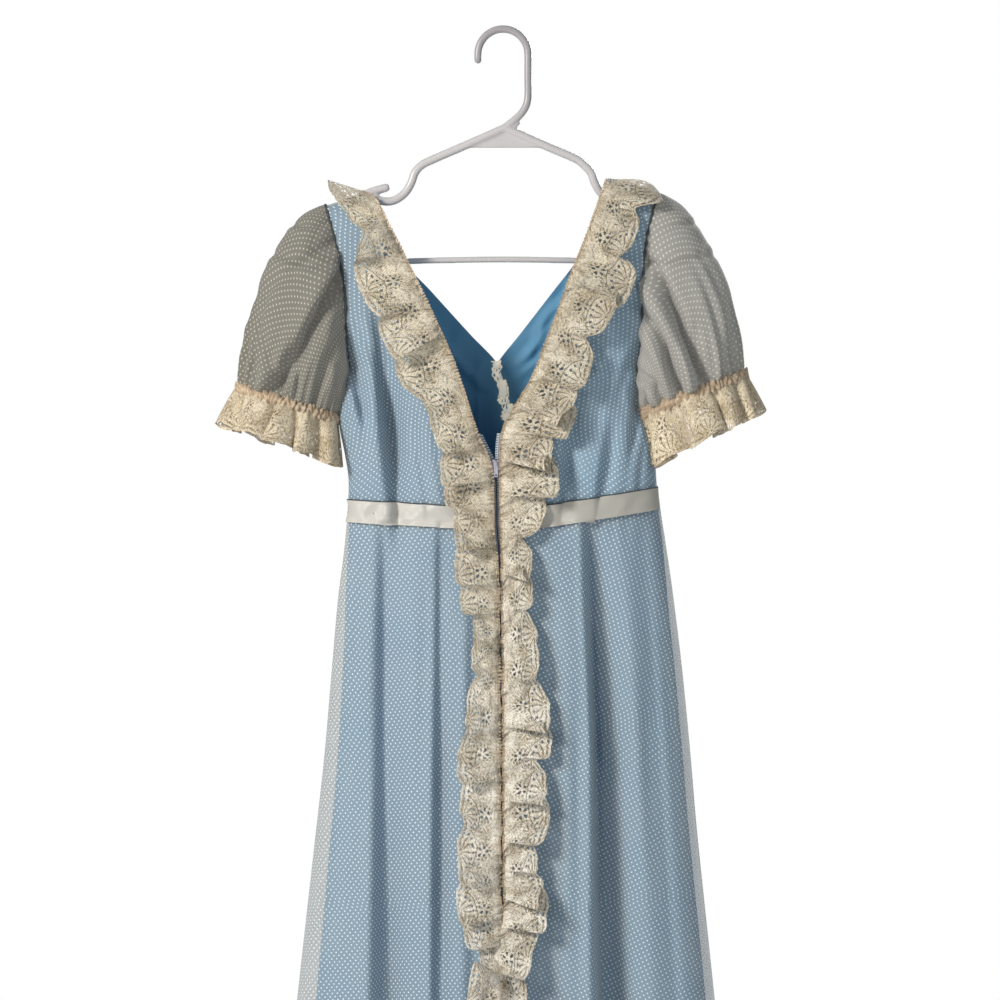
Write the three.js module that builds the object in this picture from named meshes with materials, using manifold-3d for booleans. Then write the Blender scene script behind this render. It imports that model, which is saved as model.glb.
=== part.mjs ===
// A floor-length prairie dress of dotted sheer cloth over a blue lining, with puffed sleeves, lace
// ruffles, a ribbon at the high waist and a centre zip, hanging on a tubular plastic hanger.
// Millimetres, +Z up. The origin is the underside of the hook's crown, where a nail or rail holds it.
// The zip side faces -Y, and left and right are as seen from there.
import * as THREE from 'three';
import { mergeVertices } from 'three/addons/utils/BufferGeometryUtils.js';
import Module from 'manifold-3d';

const wasm = await Module();
wasm.setup();

// Driving sizes
const CLOTH = 1.0; // wall of one layer
const SEAM = 0.4; // gap between pieces at a seam
const LINING_IN = 1.6; // bodice lining inside the overlay
const RIBBON_OUT = 2.4; // ribbon outside the overlay
const RIBBON_WIDTH = 22;
const HEADING_OUT = 4; // gathered edge of the lace outside the overlay
const HEM = -1522;
const LINING_HEM = -1498;
const ZIP_TOP = -401;
const ZIP_END = -861;
const ZIP_HALF_GAP = 5;
const TAPE_IN = 4.2;
const CENTRE_BACK = -6;
const BACK_POINT = -325;
const SLIDER_AT = -432;
const ARMHOLE_SEAM = 0.9;

const HOOK = { radius: 25, tube: 4, tip: -25, shank: -64 };
const ARM_TUBE = 4.4;
const BAR_TUBE = 3.2;
const BAR_LOW = -228;
const BAR_MIDDLE = -224;
const TUBE_SIDES = 8;

const MATERIALS = {
  plastic: { color: 0xe4dde0, roughness: 0.45 },
  overlay: { color: 0x8fb4d2, roughness: 0.8 },
  lining: { color: 0x6f9fc6, roughness: 0.5 },
  sheer: { color: 0xa39c92, roughness: 0.8 },
  lace: { color: 0xd8ccb4, roughness: 0.9 },
  ribbon: { color: 0xe6e0d2, roughness: 0.35 },
  tape: { color: 0xb9cbe0, roughness: 0.8 },
  metal: { color: 0xb8b4c4, roughness: 0.4, metalness: 0.5 },
};

// Sections of the dress: edges and how far the front and the back stand from the hanger's plane.
// Above the underarm the edges are those of a form a little wider than the armholes.
const BODY = [
  { z: -140, left: -214, right: 194, front: 26, back: 24 },
  { z: -215, left: -194, right: 174, front: 31, back: 27 },
  { z: -270, left: -179, right: 159, front: 38, back: 33 },
  { z: -310, left: -164, right: 145, front: 42, back: 35 },
  { z: -335, left: -153.5, right: 134.5, front: 43, back: 36 },
  { z: -380, left: -153, right: 137, front: 44, back: 37 },
  { z: -447, left: -154, right: 152, front: 41, back: 35 },
  { z: -487, left: -156, right: 157, front: 36, back: 31 },
  { z: -520, left: -159, right: 162, front: 38, back: 33 },
  { z: -567, left: -165, right: 169, front: 42, back: 36 },
  { z: -647, left: -172, right: 179, front: 49, back: 42 },
  { z: -727, left: -179, right: 187, front: 54, back: 47 },
  { z: -807, left: -188, right: 194, front: 60, back: 52 },
  { z: -967, left: -206, right: 211, front: 70, back: 62 },
  { z: -1250, left: -237, right: 240, front: 86, back: 78 },
  { z: -1522, left: -264, right: 266, front: 100, back: 92 },
];
const CAP_HEIGHT = 45; // how far below the shoulder line the cloth reaches its full depth
const FLATNESS = 3; // power of the sections, from 2 for an ellipse to flatter ones

// How much narrower and shallower the skirt lining hangs than the overlay.
const LINING_INSET = [
  { z: -480, left: 1.8, right: 1.8, deep: 1.8 },
  { z: -520, left: 4, right: 3, deep: 4 },
  { z: -607, left: 10, right: 7, deep: 7 },
  { z: -967, left: 19, right: 9, deep: 9 },
  { z: -1522, left: 32, right: 16, deep: 12 },
];

// Shoulder lines over the hanger's arms.
const SHOULDERS = {
  left: [
    { x: -177, z: -172.4 },
    { x: -150, z: -158.9 },
    { x: -131, z: -150.9 },
  ],
  right: [
    { x: 105, z: -145.2 },
    { x: 116, z: -146.8 },
    { x: 133, z: -151 },
    { x: 154, z: -160.2 },
  ],
};

// Armhole seams seen from the front, down to the underarm.
const ARMHOLES = {
  left: [
    { z: -172.4, x: -177 },
    { z: -204, x: -168 },
    { z: -245, x: -159 },
    { z: -270, x: -156.5 },
    { z: -311, x: -155 },
    { z: -335, x: -153.3 },
  ],
  right: [
    { z: -160.2, x: 154 },
    { z: -198, x: 144 },
    { z: -229, x: 140 },
    { z: -270, x: 138 },
    { z: -304, x: 137.5 },
    { z: -335, x: 134.3 },
  ],
};
const UNDERARM = -335;

// Neck edges of the front, which run on as the edges of the zip, and of the back.
const NECK = {
  front: {
    left: [
      { z: -150.9, x: -131 },
      { z: -179, x: -123 },
      { z: -212, x: -108 },
      { z: -275, x: -75 },
      { z: -319, x: -55 },
      { z: -357, x: -41 },
      { z: -401, x: -27 },
      { z: -430, x: -14 },
      { z: -447, x: -12 },
      { z: -487, x: -11 },
    ],
    right: [
      { z: -145.2, x: 105 },
      { z: -166, x: 98 },
      { z: -206, x: 84 },
      { z: -243, x: 69 },
      { z: -277, x: 57 },
      { z: -313, x: 43 },
      { z: -344, x: 31 },
      { z: -367, x: 18 },
      { z: -396, x: 2 },
      { z: -430, x: -1.5 },
      { z: -487, x: -1 },
    ],
  },
  back: {
    left: [
      { z: -150.9, x: -131 },
      { z: -190, x: -119 },
      { z: -229, x: -98 },
      { z: BACK_POINT, x: CENTRE_BACK },
      { z: -487, x: CENTRE_BACK },
    ],
    right: [
      { z: -145.2, x: 105 },
      { z: -190, x: 96 },
      { z: -229, x: 79 },
      { z: BACK_POINT, x: CENTRE_BACK },
      { z: -487, x: CENTRE_BACK },
    ],
  },
};

// The waist seam, which dips at the centre, and the line of the zip down the skirt.
const WAIST = {
  front: [
    { x: -157, z: -478 },
    { x: -50, z: -484 },
    { x: 0, z: -486 },
    { x: 45, z: -483 },
    { x: 158, z: -465 },
  ],
  back: [
    { x: -157, z: -478 },
    { x: 0, z: -476 },
    { x: 158, z: -465 },
  ],
};
const ZIP_LINE = [
  { z: -430, x: -7 },
  { z: -490, x: -6 },
  { z: -530, x: -3.5 },
  { z: -650, x: -2 },
  { z: -861, x: -1 },
  { z: -1522, x: 1 },
];

// Folds of the skirt: troughs that deepen from the waist to the hem, in order across.
const FOLDS = {
  front: [
    { top: -137, hem: -215, wide: 15, deep: 9 },
    { top: -112, hem: -110, wide: 24, deep: 15 },
    { top: -62, hem: -68, wide: 11, deep: 12 },
    { top: -28, hem: -30, wide: 9, deep: 8 },
    { top: 34, hem: 40, wide: 10, deep: 10 },
    { top: 82, hem: 113, wide: 13, deep: 24 },
    { top: 138, hem: 205, wide: 16, deep: 10 },
  ],
  back: [
    { top: -130, hem: -195, wide: 16, deep: 14 },
    { top: -92, hem: -128, wide: 15, deep: 22 },
    { top: -40, hem: -52, wide: 18, deep: 16 },
    { top: 18, hem: 22, wide: 13, deep: 20 },
    { top: 74, hem: 100, wide: 19, deep: 15 },
    { top: 125, hem: 184, wide: 15, deep: 20 },
  ],
};

// Folds of the bodice: soft troughs from the armpits and down from the neck edges.
const BODICE_FOLDS = {
  front: [
    { x: -108, z: -395, wide: 9, high: 70, deep: 5 },
    { x: -143, z: -355, wide: 7, high: 32, deep: 5 },
    { x: 128, z: -372, wide: 8, high: 34, deep: 4 },
    { x: 84, z: -420, wide: 12, high: 50, deep: 3 },
  ],
  back: [
    { x: -95, z: -400, wide: 11, high: 60, deep: 4 },
    { x: 30, z: -430, wide: 12, high: 45, deep: 3 },
    { x: 112, z: -385, wide: 9, high: 50, deep: 4 },
  ],
};

// Sleeves: the outer and the under line seen from the front, and how far they puff out.
const SLEEVES = {
  left: [
    { at: 0, outX: -177, outZ: -172.4, inX: -153.3, inZ: -335, front: 20, back: 17 },
    { at: 0.18, outX: -197, outZ: -178, inX: -158, inZ: -338.5, front: 38, back: 34 },
    { at: 0.36, outX: -215, outZ: -189, inX: -163, inZ: -342, front: 47, back: 42 },
    { at: 0.52, outX: -233, outZ: -217, inX: -167, inZ: -347, front: 50, back: 45 },
    { at: 0.68, outX: -246, outZ: -258, inX: -168.5, inZ: -355, front: 50, back: 45 },
    { at: 0.86, outX: -258, outZ: -310, inX: -170, inZ: -368, front: 42, back: 38 },
    { at: 1, outX: -264, outZ: -353, inX: -171, inZ: -380, front: 30, back: 28 },
  ],
  right: [
    { at: 0, outX: 154, outZ: -160.2, inX: 134.3, inZ: -335, front: 20, back: 17 },
    { at: 0.18, outX: 175, outZ: -169, inX: 138.5, inZ: -339, front: 38, back: 34 },
    { at: 0.36, outX: 193, outZ: -182, inX: 141.5, inZ: -343, front: 48, back: 42 },
    { at: 0.52, outX: 211, outZ: -212, inX: 144, inZ: -349, front: 51, back: 45 },
    { at: 0.68, outX: 225, outZ: -248, inX: 145.5, inZ: -356, front: 50, back: 45 },
    { at: 0.86, outX: 236, outZ: -300, inX: 146.5, inZ: -366, front: 42, back: 38 },
    { at: 1, outX: 241, outZ: -339, inX: 147, inZ: -375, front: 30, back: 28 },
  ],
};

// Lace cuffs, gathered onto the sleeve ends: their free edge, flutes and how far these swing.
const CUFFS = {
  left: { outX: -286, outZ: -396, inX: -172, inZ: -431, front: 42, back: 38, flutes: 12 },
  right: { outX: 264, outZ: -383, inX: 163, inZ: -433, front: 42, back: 38, flutes: 12 },
};
const FLUTE_SWING = 5;

// Lace ruffles along the front edges: width from the gathered edge, and how much it turns down.
const RUFFLES = {
  left: [
    { z: -151, width: 41, drop: -3 },
    { z: -165, width: 38, drop: -1 },
    { z: -181, width: 24, drop: 8 },
    { z: -204, width: 44, drop: 16 },
    { z: -250, width: 46, drop: 20 },
    { z: -310, width: 48, drop: 20 },
    { z: -345, width: 43, drop: 17 },
    { z: -385, width: 38, drop: 11 },
    { z: -440, width: 47, drop: 2 },
    { z: -478, width: 41, drop: 0 },
    { z: -496, width: 34, drop: 0 },
    { z: -535, width: 43, drop: 0 },
    { z: -564, width: 34, drop: 0 },
    { z: -596, width: 22, drop: 0 },
    { z: -660, width: 30, drop: 0 },
    { z: -714, width: 35, drop: 0 },
    { z: -843, width: 40, drop: 0 },
    { z: -889, width: 35, drop: 0 },
    { z: -915, width: 21, drop: 0 },
    { z: -967, width: 40, drop: 0 },
    { z: -1060, width: 43, drop: 0 },
    { z: -1180, width: 36, drop: 0 },
    { z: -1330, width: 45, drop: 0 },
    { z: -1517, width: 42, drop: 0 },
  ],
  right: [
    { z: -146, width: 52, drop: 3 },
    { z: -166, width: 48, drop: 12 },
    { z: -206, width: 47, drop: 20 },
    { z: -235, width: 53, drop: 20 },
    { z: -262, width: 48, drop: 19 },
    { z: -290, width: 40, drop: 16 },
    { z: -325, width: 44, drop: 16 },
    { z: -352, width: 40, drop: 14 },
    { z: -392, width: 56, drop: 6 },
    { z: -420, width: 50, drop: 2 },
    { z: -449, width: 51, drop: 0 },
    { z: -482, width: 40, drop: 0 },
    { z: -500, width: 25, drop: 0 },
    { z: -550, width: 28, drop: 0 },
    { z: -600, width: 27, drop: 0 },
    { z: -650, width: 37, drop: 0 },
    { z: -689, width: 45, drop: 0 },
    { z: -751, width: 37, drop: 0 },
    { z: -773, width: 40, drop: 0 },
    { z: -815, width: 30, drop: 0 },
    { z: -862, width: 38, drop: 0 },
    { z: -907, width: 35, drop: 0 },
    { z: -967, width: 30, drop: 0 },
    { z: -1060, width: 41, drop: 0 },
    { z: -1200, width: 34, drop: 0 },
    { z: -1350, width: 44, drop: 0 },
    { z: -1517, width: 40, drop: 0 },
  ],
};
const RUFFLE_WAVES = { neck: 9, skirt: 26, back: 7 };
const RUFFLE_SWING = 6;
const RUFFLE_SPLIT = -497;
const RUFFLE_HEM = -1517;
const BACK_RUFFLE_WIDTH = 46;

// The gathered strip that shows inside the point of the back neck.
const INSIDE_STRIP = { x: -3, top: -322, low: -392, width: 9, waves: 6 };

// The value of one column of a table where another has a given value, along a smooth curve.
function curve(table, key, at, value) {
  const way = Math.sign(table[table.length - 1][key] - table[0][key]);
  const last = table.length - 1;
  let i = 0;
  while (i < last - 1 && (at - table[i + 1][key]) * way > 0) i += 1;
  const slope = (k) => {
    const low = Math.max(0, k - 1);
    const high = Math.min(last, k + 1);
    return (table[high][value] - table[low][value]) / (table[high][key] - table[low][key]);
  };
  const step = table[i + 1][key] - table[i][key];
  const t = THREE.MathUtils.clamp((at - table[i][key]) / step, 0, 1);
  const start = (2 * t ** 3 - 3 * t ** 2 + 1) * table[i][value] + (t ** 3 - 2 * t ** 2 + t) * step * slope(i);
  return start + (3 * t ** 2 - 2 * t ** 3) * table[i + 1][value] + (t ** 3 - t ** 2) * step * slope(i + 1);
}

const mix = (a, b, t) => a + (b - a) * t;
const ease = (t) => THREE.MathUtils.smoothstep(t, 0, 1);
const bell = (distance, wide) => Math.exp(-((distance / wide) ** 2));

function shoulderHeight(x) {
  return curve(x < 0 ? SHOULDERS.left : SHOULDERS.right, 'x', x, 'z');
}

// How deep the folds press in at a point of the front or back.
function foldDepth(face, x, z) {
  let depth = 0;
  const down = THREE.MathUtils.clamp((z + 487) / (HEM + 487), 0, 1);
  for (const fold of FOLDS[face]) {
    const middle = mix(fold.top, fold.hem, down);
    depth += fold.deep * down ** 0.8 * bell(x - middle, fold.wide * mix(0.8, 1.4, down));
  }
  for (const fold of BODICE_FOLDS[face]) {
    depth += fold.deep * bell(x - fold.x, fold.wide) * bell(z - fold.z, fold.high);
  }
  return depth;
}

const LINING_AT_ZIP = 1.8;
const NO_INSET = { left: 0, right: 0, deep: 0 };

function liningInset(z) {
  const inset = {};
  for (const side of ['left', 'right', 'deep']) inset[side] = curve(LINING_INSET, 'z', z, side);
  return inset;
}

// The cloth's distance from the hanger's plane, negative on the front.
function clothY(face, x, z, inset = NO_INSET) {
  const fromZip = Math.abs(x - curve(ZIP_LINE, 'z', z, 'x'));
  const held = face === 'front' ? ease((fromZip - 12) / 45) : 1;
  const deep = Math.min(inset.deep, mix(LINING_AT_ZIP, inset.deep, held));
  const left = curve(BODY, 'z', z, 'left') + inset.left;
  const right = curve(BODY, 'z', z, 'right') - inset.right;
  const across = Math.min(1, Math.abs(x - (left + right) / 2) / ((right - left) / 2));
  const round = Math.sqrt(1 - across ** FLATNESS);
  const below = THREE.MathUtils.clamp((shoulderHeight(x) - z) / CAP_HEIGHT, 0, 1);
  const cap = Math.sqrt(1 - (1 - below) ** 2);
  const depth = (curve(BODY, 'z', z, face) - deep) * round * cap;
  const pressed = foldDepth(face, x, z) * Math.min(1, depth / 30);
  const stand = Math.max(SEAM / 2 + 0.15, depth - pressed);
  return face === 'front' ? -stand : stand;
}

function sideEdge(half, z) {
  return z > UNDERARM ? curve(ARMHOLES[half], 'z', z, 'x') : curve(BODY, 'z', z, half);
}

// A closed wall around a grid of points, rows from the top down and columns from left to right as
// seen from outside, moved out along the cloth's own direction. A round grid closes on itself. A
// front or back piece keeps to its own side of the hanger's plane.
function wall(grid, { out = 0, thick = CLOTH, round = false, face = 'both' } = {}) {
  const rows = grid.length;
  const columns = grid[0].length;
  const at = (i, j) => {
    const row = grid[THREE.MathUtils.clamp(i, 0, rows - 1)];
    return round ? row[(j + columns) % columns] : row[THREE.MathUtils.clamp(j, 0, columns - 1)];
  };
  const places = [];
  for (let i = 0; i < rows; i += 1) {
    for (let j = 0; j < columns; j += 1) {
      const across = new THREE.Vector3().subVectors(at(i, j + 1), at(i, j - 1));
      const down = new THREE.Vector3().subVectors(at(i + 1, j), at(i - 1, j));
      const normal = down.cross(across).normalize();
      for (const shift of [out + thick / 2, out - thick / 2]) {
        const place = at(i, j).clone().addScaledVector(normal, shift);
        if (face === 'front') place.y = Math.min(place.y, -SEAM / 2);
        if (face === 'back') place.y = Math.max(place.y, SEAM / 2);
        places.push(...place.toArray());
      }
    }
  }
  const outer = (i, j) => 2 * (i * columns + (j % columns));
  const inner = (i, j) => outer(i, j) + 1;
  const index = [];
  const quad = (a, b, c, d) => index.push(a, b, c, a, c, d);
  const spans = round ? columns : columns - 1;
  for (let i = 0; i < rows - 1; i += 1) {
    for (let j = 0; j < spans; j += 1) {
      quad(outer(i, j), outer(i + 1, j), outer(i + 1, j + 1), outer(i, j + 1));
      quad(inner(i, j), inner(i, j + 1), inner(i + 1, j + 1), inner(i + 1, j));
    }
    if (!round) {
      quad(outer(i, 0), inner(i, 0), inner(i + 1, 0), outer(i + 1, 0));
      const end = columns - 1;
      quad(outer(i, end), outer(i + 1, end), inner(i + 1, end), inner(i, end));
    }
  }
  for (let j = 0; j < spans; j += 1) {
    quad(outer(0, j), outer(0, j + 1), inner(0, j + 1), inner(0, j));
    quad(outer(rows - 1, j), inner(rows - 1, j), inner(rows - 1, j + 1), outer(rows - 1, j + 1));
  }
  const geometry = new THREE.BufferGeometry();
  geometry.setAttribute('position', new THREE.Float32BufferAttribute(places, 3));
  geometry.setIndex(index);
  return geometry;
}

function gridOf(rows, columns, point) {
  return Array.from({ length: rows }, (_, i) =>
    Array.from({ length: columns }, (__, j) => point(i / (rows - 1), j / (columns - 1))),
  );
}

// True where a panel's columns, left to right from outside, start at its side seam.
const startsAtSide = (face, half) => (face === 'front') === (half === 'left');

// One quarter of the bodice, from the shoulder to the waist seam.
function bodicePanel(face, half, rows = 10, columns = 9) {
  const neck = NECK[face][half];
  const armTop = ARMHOLES[half][0].z;
  const toSeam = half === 'left' ? 1 : -1;
  return gridOf(rows, columns, (down, across) => {
    const inward = startsAtSide(face, half) ? across : 1 - across;
    const fall = down ** 1.5;
    const waistOut = curve(WAIST[face], 'x', sideEdge(half, UNDERARM - 140), 'z');
    const waistIn = curve(WAIST[face], 'x', neck[neck.length - 1].x, 'z');
    const zOut = mix(armTop, waistOut + SEAM / 2, fall);
    const zIn = mix(neck[0].z, waistIn + SEAM / 2, fall);
    const xOut = sideEdge(half, zOut);
    let xIn = curve(neck, 'z', zIn, 'x');
    const centre = CENTRE_BACK - toSeam * SEAM / 2;
    if (face === 'back' && (xIn - centre) * toSeam > 0) xIn = centre;
    const x = mix(xOut, xIn, inward ** 1.5);
    const level = mix(zOut, zIn, inward ** 1.5);
    const z = mix(shoulderHeight(x), level, Math.min(1, down * 3));
    return new THREE.Vector3(x, clothY(face, x, z), z);
  });
}

function frontEdge(half, z) {
  const way = half === 'left' ? -1 : 1;
  const open = mix(ZIP_HALF_GAP, SEAM / 2, ease((ZIP_END - z) / 12));
  return curve(ZIP_LINE, 'z', z, 'x') + way * open;
}

// A skirt panel: a front half between its side seam and the zip, or the whole back.
function skirtPanel(face, half, lining, rows = 8, columns = 18) {
  const hem = lining ? LINING_HEM : HEM;
  const top = (x) => curve(WAIST[face], 'x', x, 'z') - SEAM / 2;
  return gridOf(rows, columns, (down, across) => {
    const z0 = mix(-480, hem, down ** 1.45);
    const inset = lining ? liningInset(z0) : NO_INSET;
    const left = half === 'right' ? frontEdge('right', z0) : curve(BODY, 'z', z0, 'left') + inset.left;
    const right = half === 'left' ? frontEdge('left', z0) : curve(BODY, 'z', z0, 'right') - inset.right;
    const t = face === 'front' ? across : 1 - across;
    let spaced = 0.5 - 0.5 * Math.cos(Math.PI * mix(0.04, 0.96, t));
    spaced = mix(t, spaced, 0.55);
    if (half === 'left') spaced = t ** 1.35;
    if (half === 'right') spaced = 1 - (1 - t) ** 1.35;
    if (t === 0 || t === 1) spaced = t;
    const x = mix(left, right, spaced);
    const z = mix(top(x), hem, (z0 + 480) / (hem + 480));
    return new THREE.Vector3(x, clothY(face, x, z, inset), z);
  });
}

// A ring around a sleeve, from its outer line over the front to the under line and back.
function sleeveRing(half, line, part) {
  const angle = part * 2 * Math.PI;
  const top = (1 + Math.cos(angle)) / 2;
  const x = mix(line.inX, line.outX, top);
  const z = mix(line.inZ, line.outZ, top);
  const turn = Math.sin(angle) * (half === 'left' ? 1 : -1);
  const y = turn > 0 ? -line.front * turn : -line.back * turn;
  return new THREE.Vector3(x, y, z);
}

function sleeveLine(half, at) {
  const line = {};
  for (const name of ['outX', 'outZ', 'inX', 'inZ', 'front', 'back']) {
    line[name] = curve(SLEEVES[half], 'at', at, name);
  }
  return line;
}

// The armhole edge of the bodice panels, met by the first ring of the sleeve.
function armholePoint(half, part) {
  const angle = part * 2 * Math.PI;
  const front = Math.sin(angle) * (half === 'left' ? 1 : -1) > 0;
  const top = (1 + Math.cos(angle)) / 2;
  const z = mix(UNDERARM, ARMHOLES[half][0].z, top);
  const x = sideEdge(half, z);
  const away = half === 'left' ? -ARMHOLE_SEAM : ARMHOLE_SEAM;
  const onLine = top === 0 || top === 1;
  const y = onLine ? 0 : clothY(front ? 'front' : 'back', x, Math.min(z, shoulderHeight(x)));
  return new THREE.Vector3(x + away, y, z);
}

function sleeveGrid(half, rows = 8, columns = 18) {
  return Array.from({ length: rows }, (_, i) =>
    Array.from({ length: columns }, (__, j) => {
      const at = i / (rows - 1);
      const point = sleeveRing(half, sleeveLine(half, at), j / columns);
      return point.lerp(armholePoint(half, j / columns), (1 - at) ** 3);
    }),
  );
}

function cuffGrid(half, rows = 3) {
  const free = CUFFS[half];
  const columns = free.flutes * 4;
  const start = sleeveLine(half, 1);
  return Array.from({ length: rows }, (_, i) =>
    Array.from({ length: columns }, (__, j) => {
      const at = i / (rows - 1);
      const line = {};
      for (const name of ['outX', 'outZ', 'inX', 'inZ', 'front', 'back']) {
        line[name] = mix(start[name], free[name], at);
      }
      const down = new THREE.Vector3(free.outX + free.inX - start.outX - start.inX, 0, 0);
      down.z = free.outZ + free.inZ - start.outZ - start.inZ;
      const point = sleeveRing(half, line, j / columns).addScaledVector(down.normalize(), SEAM * 2);
      const middle = sleeveRing(half, line, 0).lerp(sleeveRing(half, line, 0.5), 0.5);
      const outward = point.clone().sub(middle).normalize();
      const wave = Math.cos((j / columns) * free.flutes * 2 * Math.PI);
      return point.addScaledVector(outward, wave * FLUTE_SWING * mix(0.15, 1, at));
    }),
  );
}

// A ribbon piece around the waist between two edges, from the cloth's own points moved out.
function ribbonGrid(face, from, to, columns) {
  return gridOf(3, columns, (down, across) => {
    const t = face === 'front' ? across : 1 - across;
    const level = curve(WAIST[face], 'x', mix(-157, 158, t), 'z') + RIBBON_WIDTH * (0.5 - down);
    const left = from ?? curve(BODY, 'z', level, 'left') - 1;
    const right = to ?? curve(BODY, 'z', level, 'right') + 1;
    let spaced = mix(t, 0.5 - 0.5 * Math.cos(Math.PI * t), 0.8);
    if (from !== null) spaced = 1 - (1 - t) ** 1.9;
    if (to !== null) spaced = t ** 1.9;
    const x = mix(left, right, spaced);
    const z = curve(WAIST[face], 'x', x, 'z') + RIBBON_WIDTH * (0.5 - down);
    return new THREE.Vector3(x, clothY(face, x, z), z);
  });
}

// Uneven waves along a ruffle, as a phase in turns.
function wavePhase(along, waves, seed) {
  return along * waves + 0.28 * Math.sin(5.3 * along * Math.PI + seed) + 0.16 * Math.sin(13 * along + seed);
}

// A front ruffle between two heights, from its gathered edge out to its scalloped one.
function ruffleGrid(half, top, low, waves, rows) {
  const way = half === 'left' ? -1 : 1;
  const edge = NECK.front[half];
  const swap = half === 'left';
  return gridOf(rows, 3, (along, across) => {
    const z = mix(top, low, along);
    const q = swap ? 1 - across : across;
    const split = edge[edge.length - 1].z;
    const join = ease((split + 20 - z) / 40);
    const x0 = mix(curve(edge, 'z', z, 'x'), frontEdge(half, z), join);
    const phase = wavePhase(along, waves, half === 'left' ? 0.4 : 2.1) * 2 * Math.PI;
    const width = curve(RUFFLES[half], 'z', z, 'width');
    const drop = curve(RUFFLES[half], 'z', z, 'drop');
    const x = x0 + way * width * q;
    const height = z - drop * q - q * 3 * Math.sin(phase);
    const upright = ease((shoulderHeight(x0) - z) / 26);
    const under = clothY('front', x, Math.min(height, shoulderHeight(x) - 0.5));
    const lift = HEADING_OUT + q * (3.5 + RUFFLE_SWING * (1 + Math.cos(phase)));
    const start = clothY('front', x0, z);
    const y = mix(start, Math.min(start, under), upright * q) - lift * upright;
    const raised = (1 - upright) * (HEADING_OUT + 2 * q);
    return new THREE.Vector3(x, Math.min(y, -SEAM), height + raised);
  });
}

// A back neck ruffle, from the shoulder to the point of the neck.
function backRuffleGrid(half, rows) {
  const way = half === 'left' ? -1 : 1;
  const edge = NECK.back[half];
  const top = edge[0].z;
  return gridOf(rows, 3, (along, across) => {
    const z = mix(top, -322, along);
    const q = half === 'left' ? across : 1 - across;
    const x0 = curve(edge, 'z', z, 'x') + way * 0.5;
    const phase = wavePhase(along, RUFFLE_WAVES.back, half === 'left' ? 1 : 3) * 2 * Math.PI;
    const spread = mix(0.1, 0.8, ease(along * 1.6));
    const x = x0 + way * BACK_RUFFLE_WIDTH * q * (1 - 0.55 * spread * along);
    const height = z - BACK_RUFFLE_WIDTH * q * spread;
    const upright = ease((shoulderHeight(x0) - z) / 26);
    const under = clothY('back', x, Math.min(height, shoulderHeight(x) - 0.5));
    const lift = HEADING_OUT + q * (3 + RUFFLE_SWING * (1 + Math.cos(phase)));
    const start = clothY('back', x0, z);
    const y = mix(start, Math.max(start, under), upright * q) + lift * upright;
    const raised = (1 - upright) * (HEADING_OUT + 2 * q);
    return new THREE.Vector3(x, Math.max(y, SEAM), height + raised);
  });
}

function insideStripGrid(rows = 19) {
  const strip = INSIDE_STRIP;
  return gridOf(rows, 2, (along, across) => {
    const z = mix(strip.top, strip.low, along);
    const phase = along * strip.waves * 2 * Math.PI;
    const x = strip.x + strip.width * (across - 0.5) + 1.5 * Math.sin(phase) + 6 * along;
    const y = clothY('back', x, z) - 4.3 - 1.6 * Math.cos(phase) * across;
    return new THREE.Vector3(x, y, z);
  });
}

// A zip tape behind the edge of a front panel, from the open top down to the end of the zip.
function tapeGrid(half, rows = 12) {
  const way = half === 'left' ? -1 : 1;
  return gridOf(rows, 3, (down, across) => {
    const z = mix(ZIP_TOP, ZIP_END, down ** 1.8);
    const edge = NECK.front[half];
    const join = ease((-467 - z) / 40);
    const x0 = mix(curve(edge, 'z', z, 'x'), frontEdge(half, z), join);
    const reach = half === 'left' ? mix(6, -ZIP_HALF_GAP + 0.4, across) : mix(-ZIP_HALF_GAP + 0.4, 6, across);
    const x = x0 + way * reach;
    return new THREE.Vector3(x, clothY('front', x0, z), z);
  });
}

// The slider: a shield-shaped body with a lug that the pull tab hangs in.
const SLIDER = { wide: 8, high: 9.5, deep: 5.6, lug: 1.4, hole: 1.05, reach: 4.2 };
const PULL = { wide: 4.8, length: 14, thick: 1, slot: 2.4, bar: 1.1, hole: 0.9 };

function sliderPlace() {
  const x = curve(ZIP_LINE, 'z', SLIDER_AT, 'x');
  return new THREE.Vector3(x, clothY('front', x - ZIP_HALF_GAP, SLIDER_AT) + TAPE_IN - CLOTH / 2 - SEAM, SLIDER_AT);
}

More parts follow.
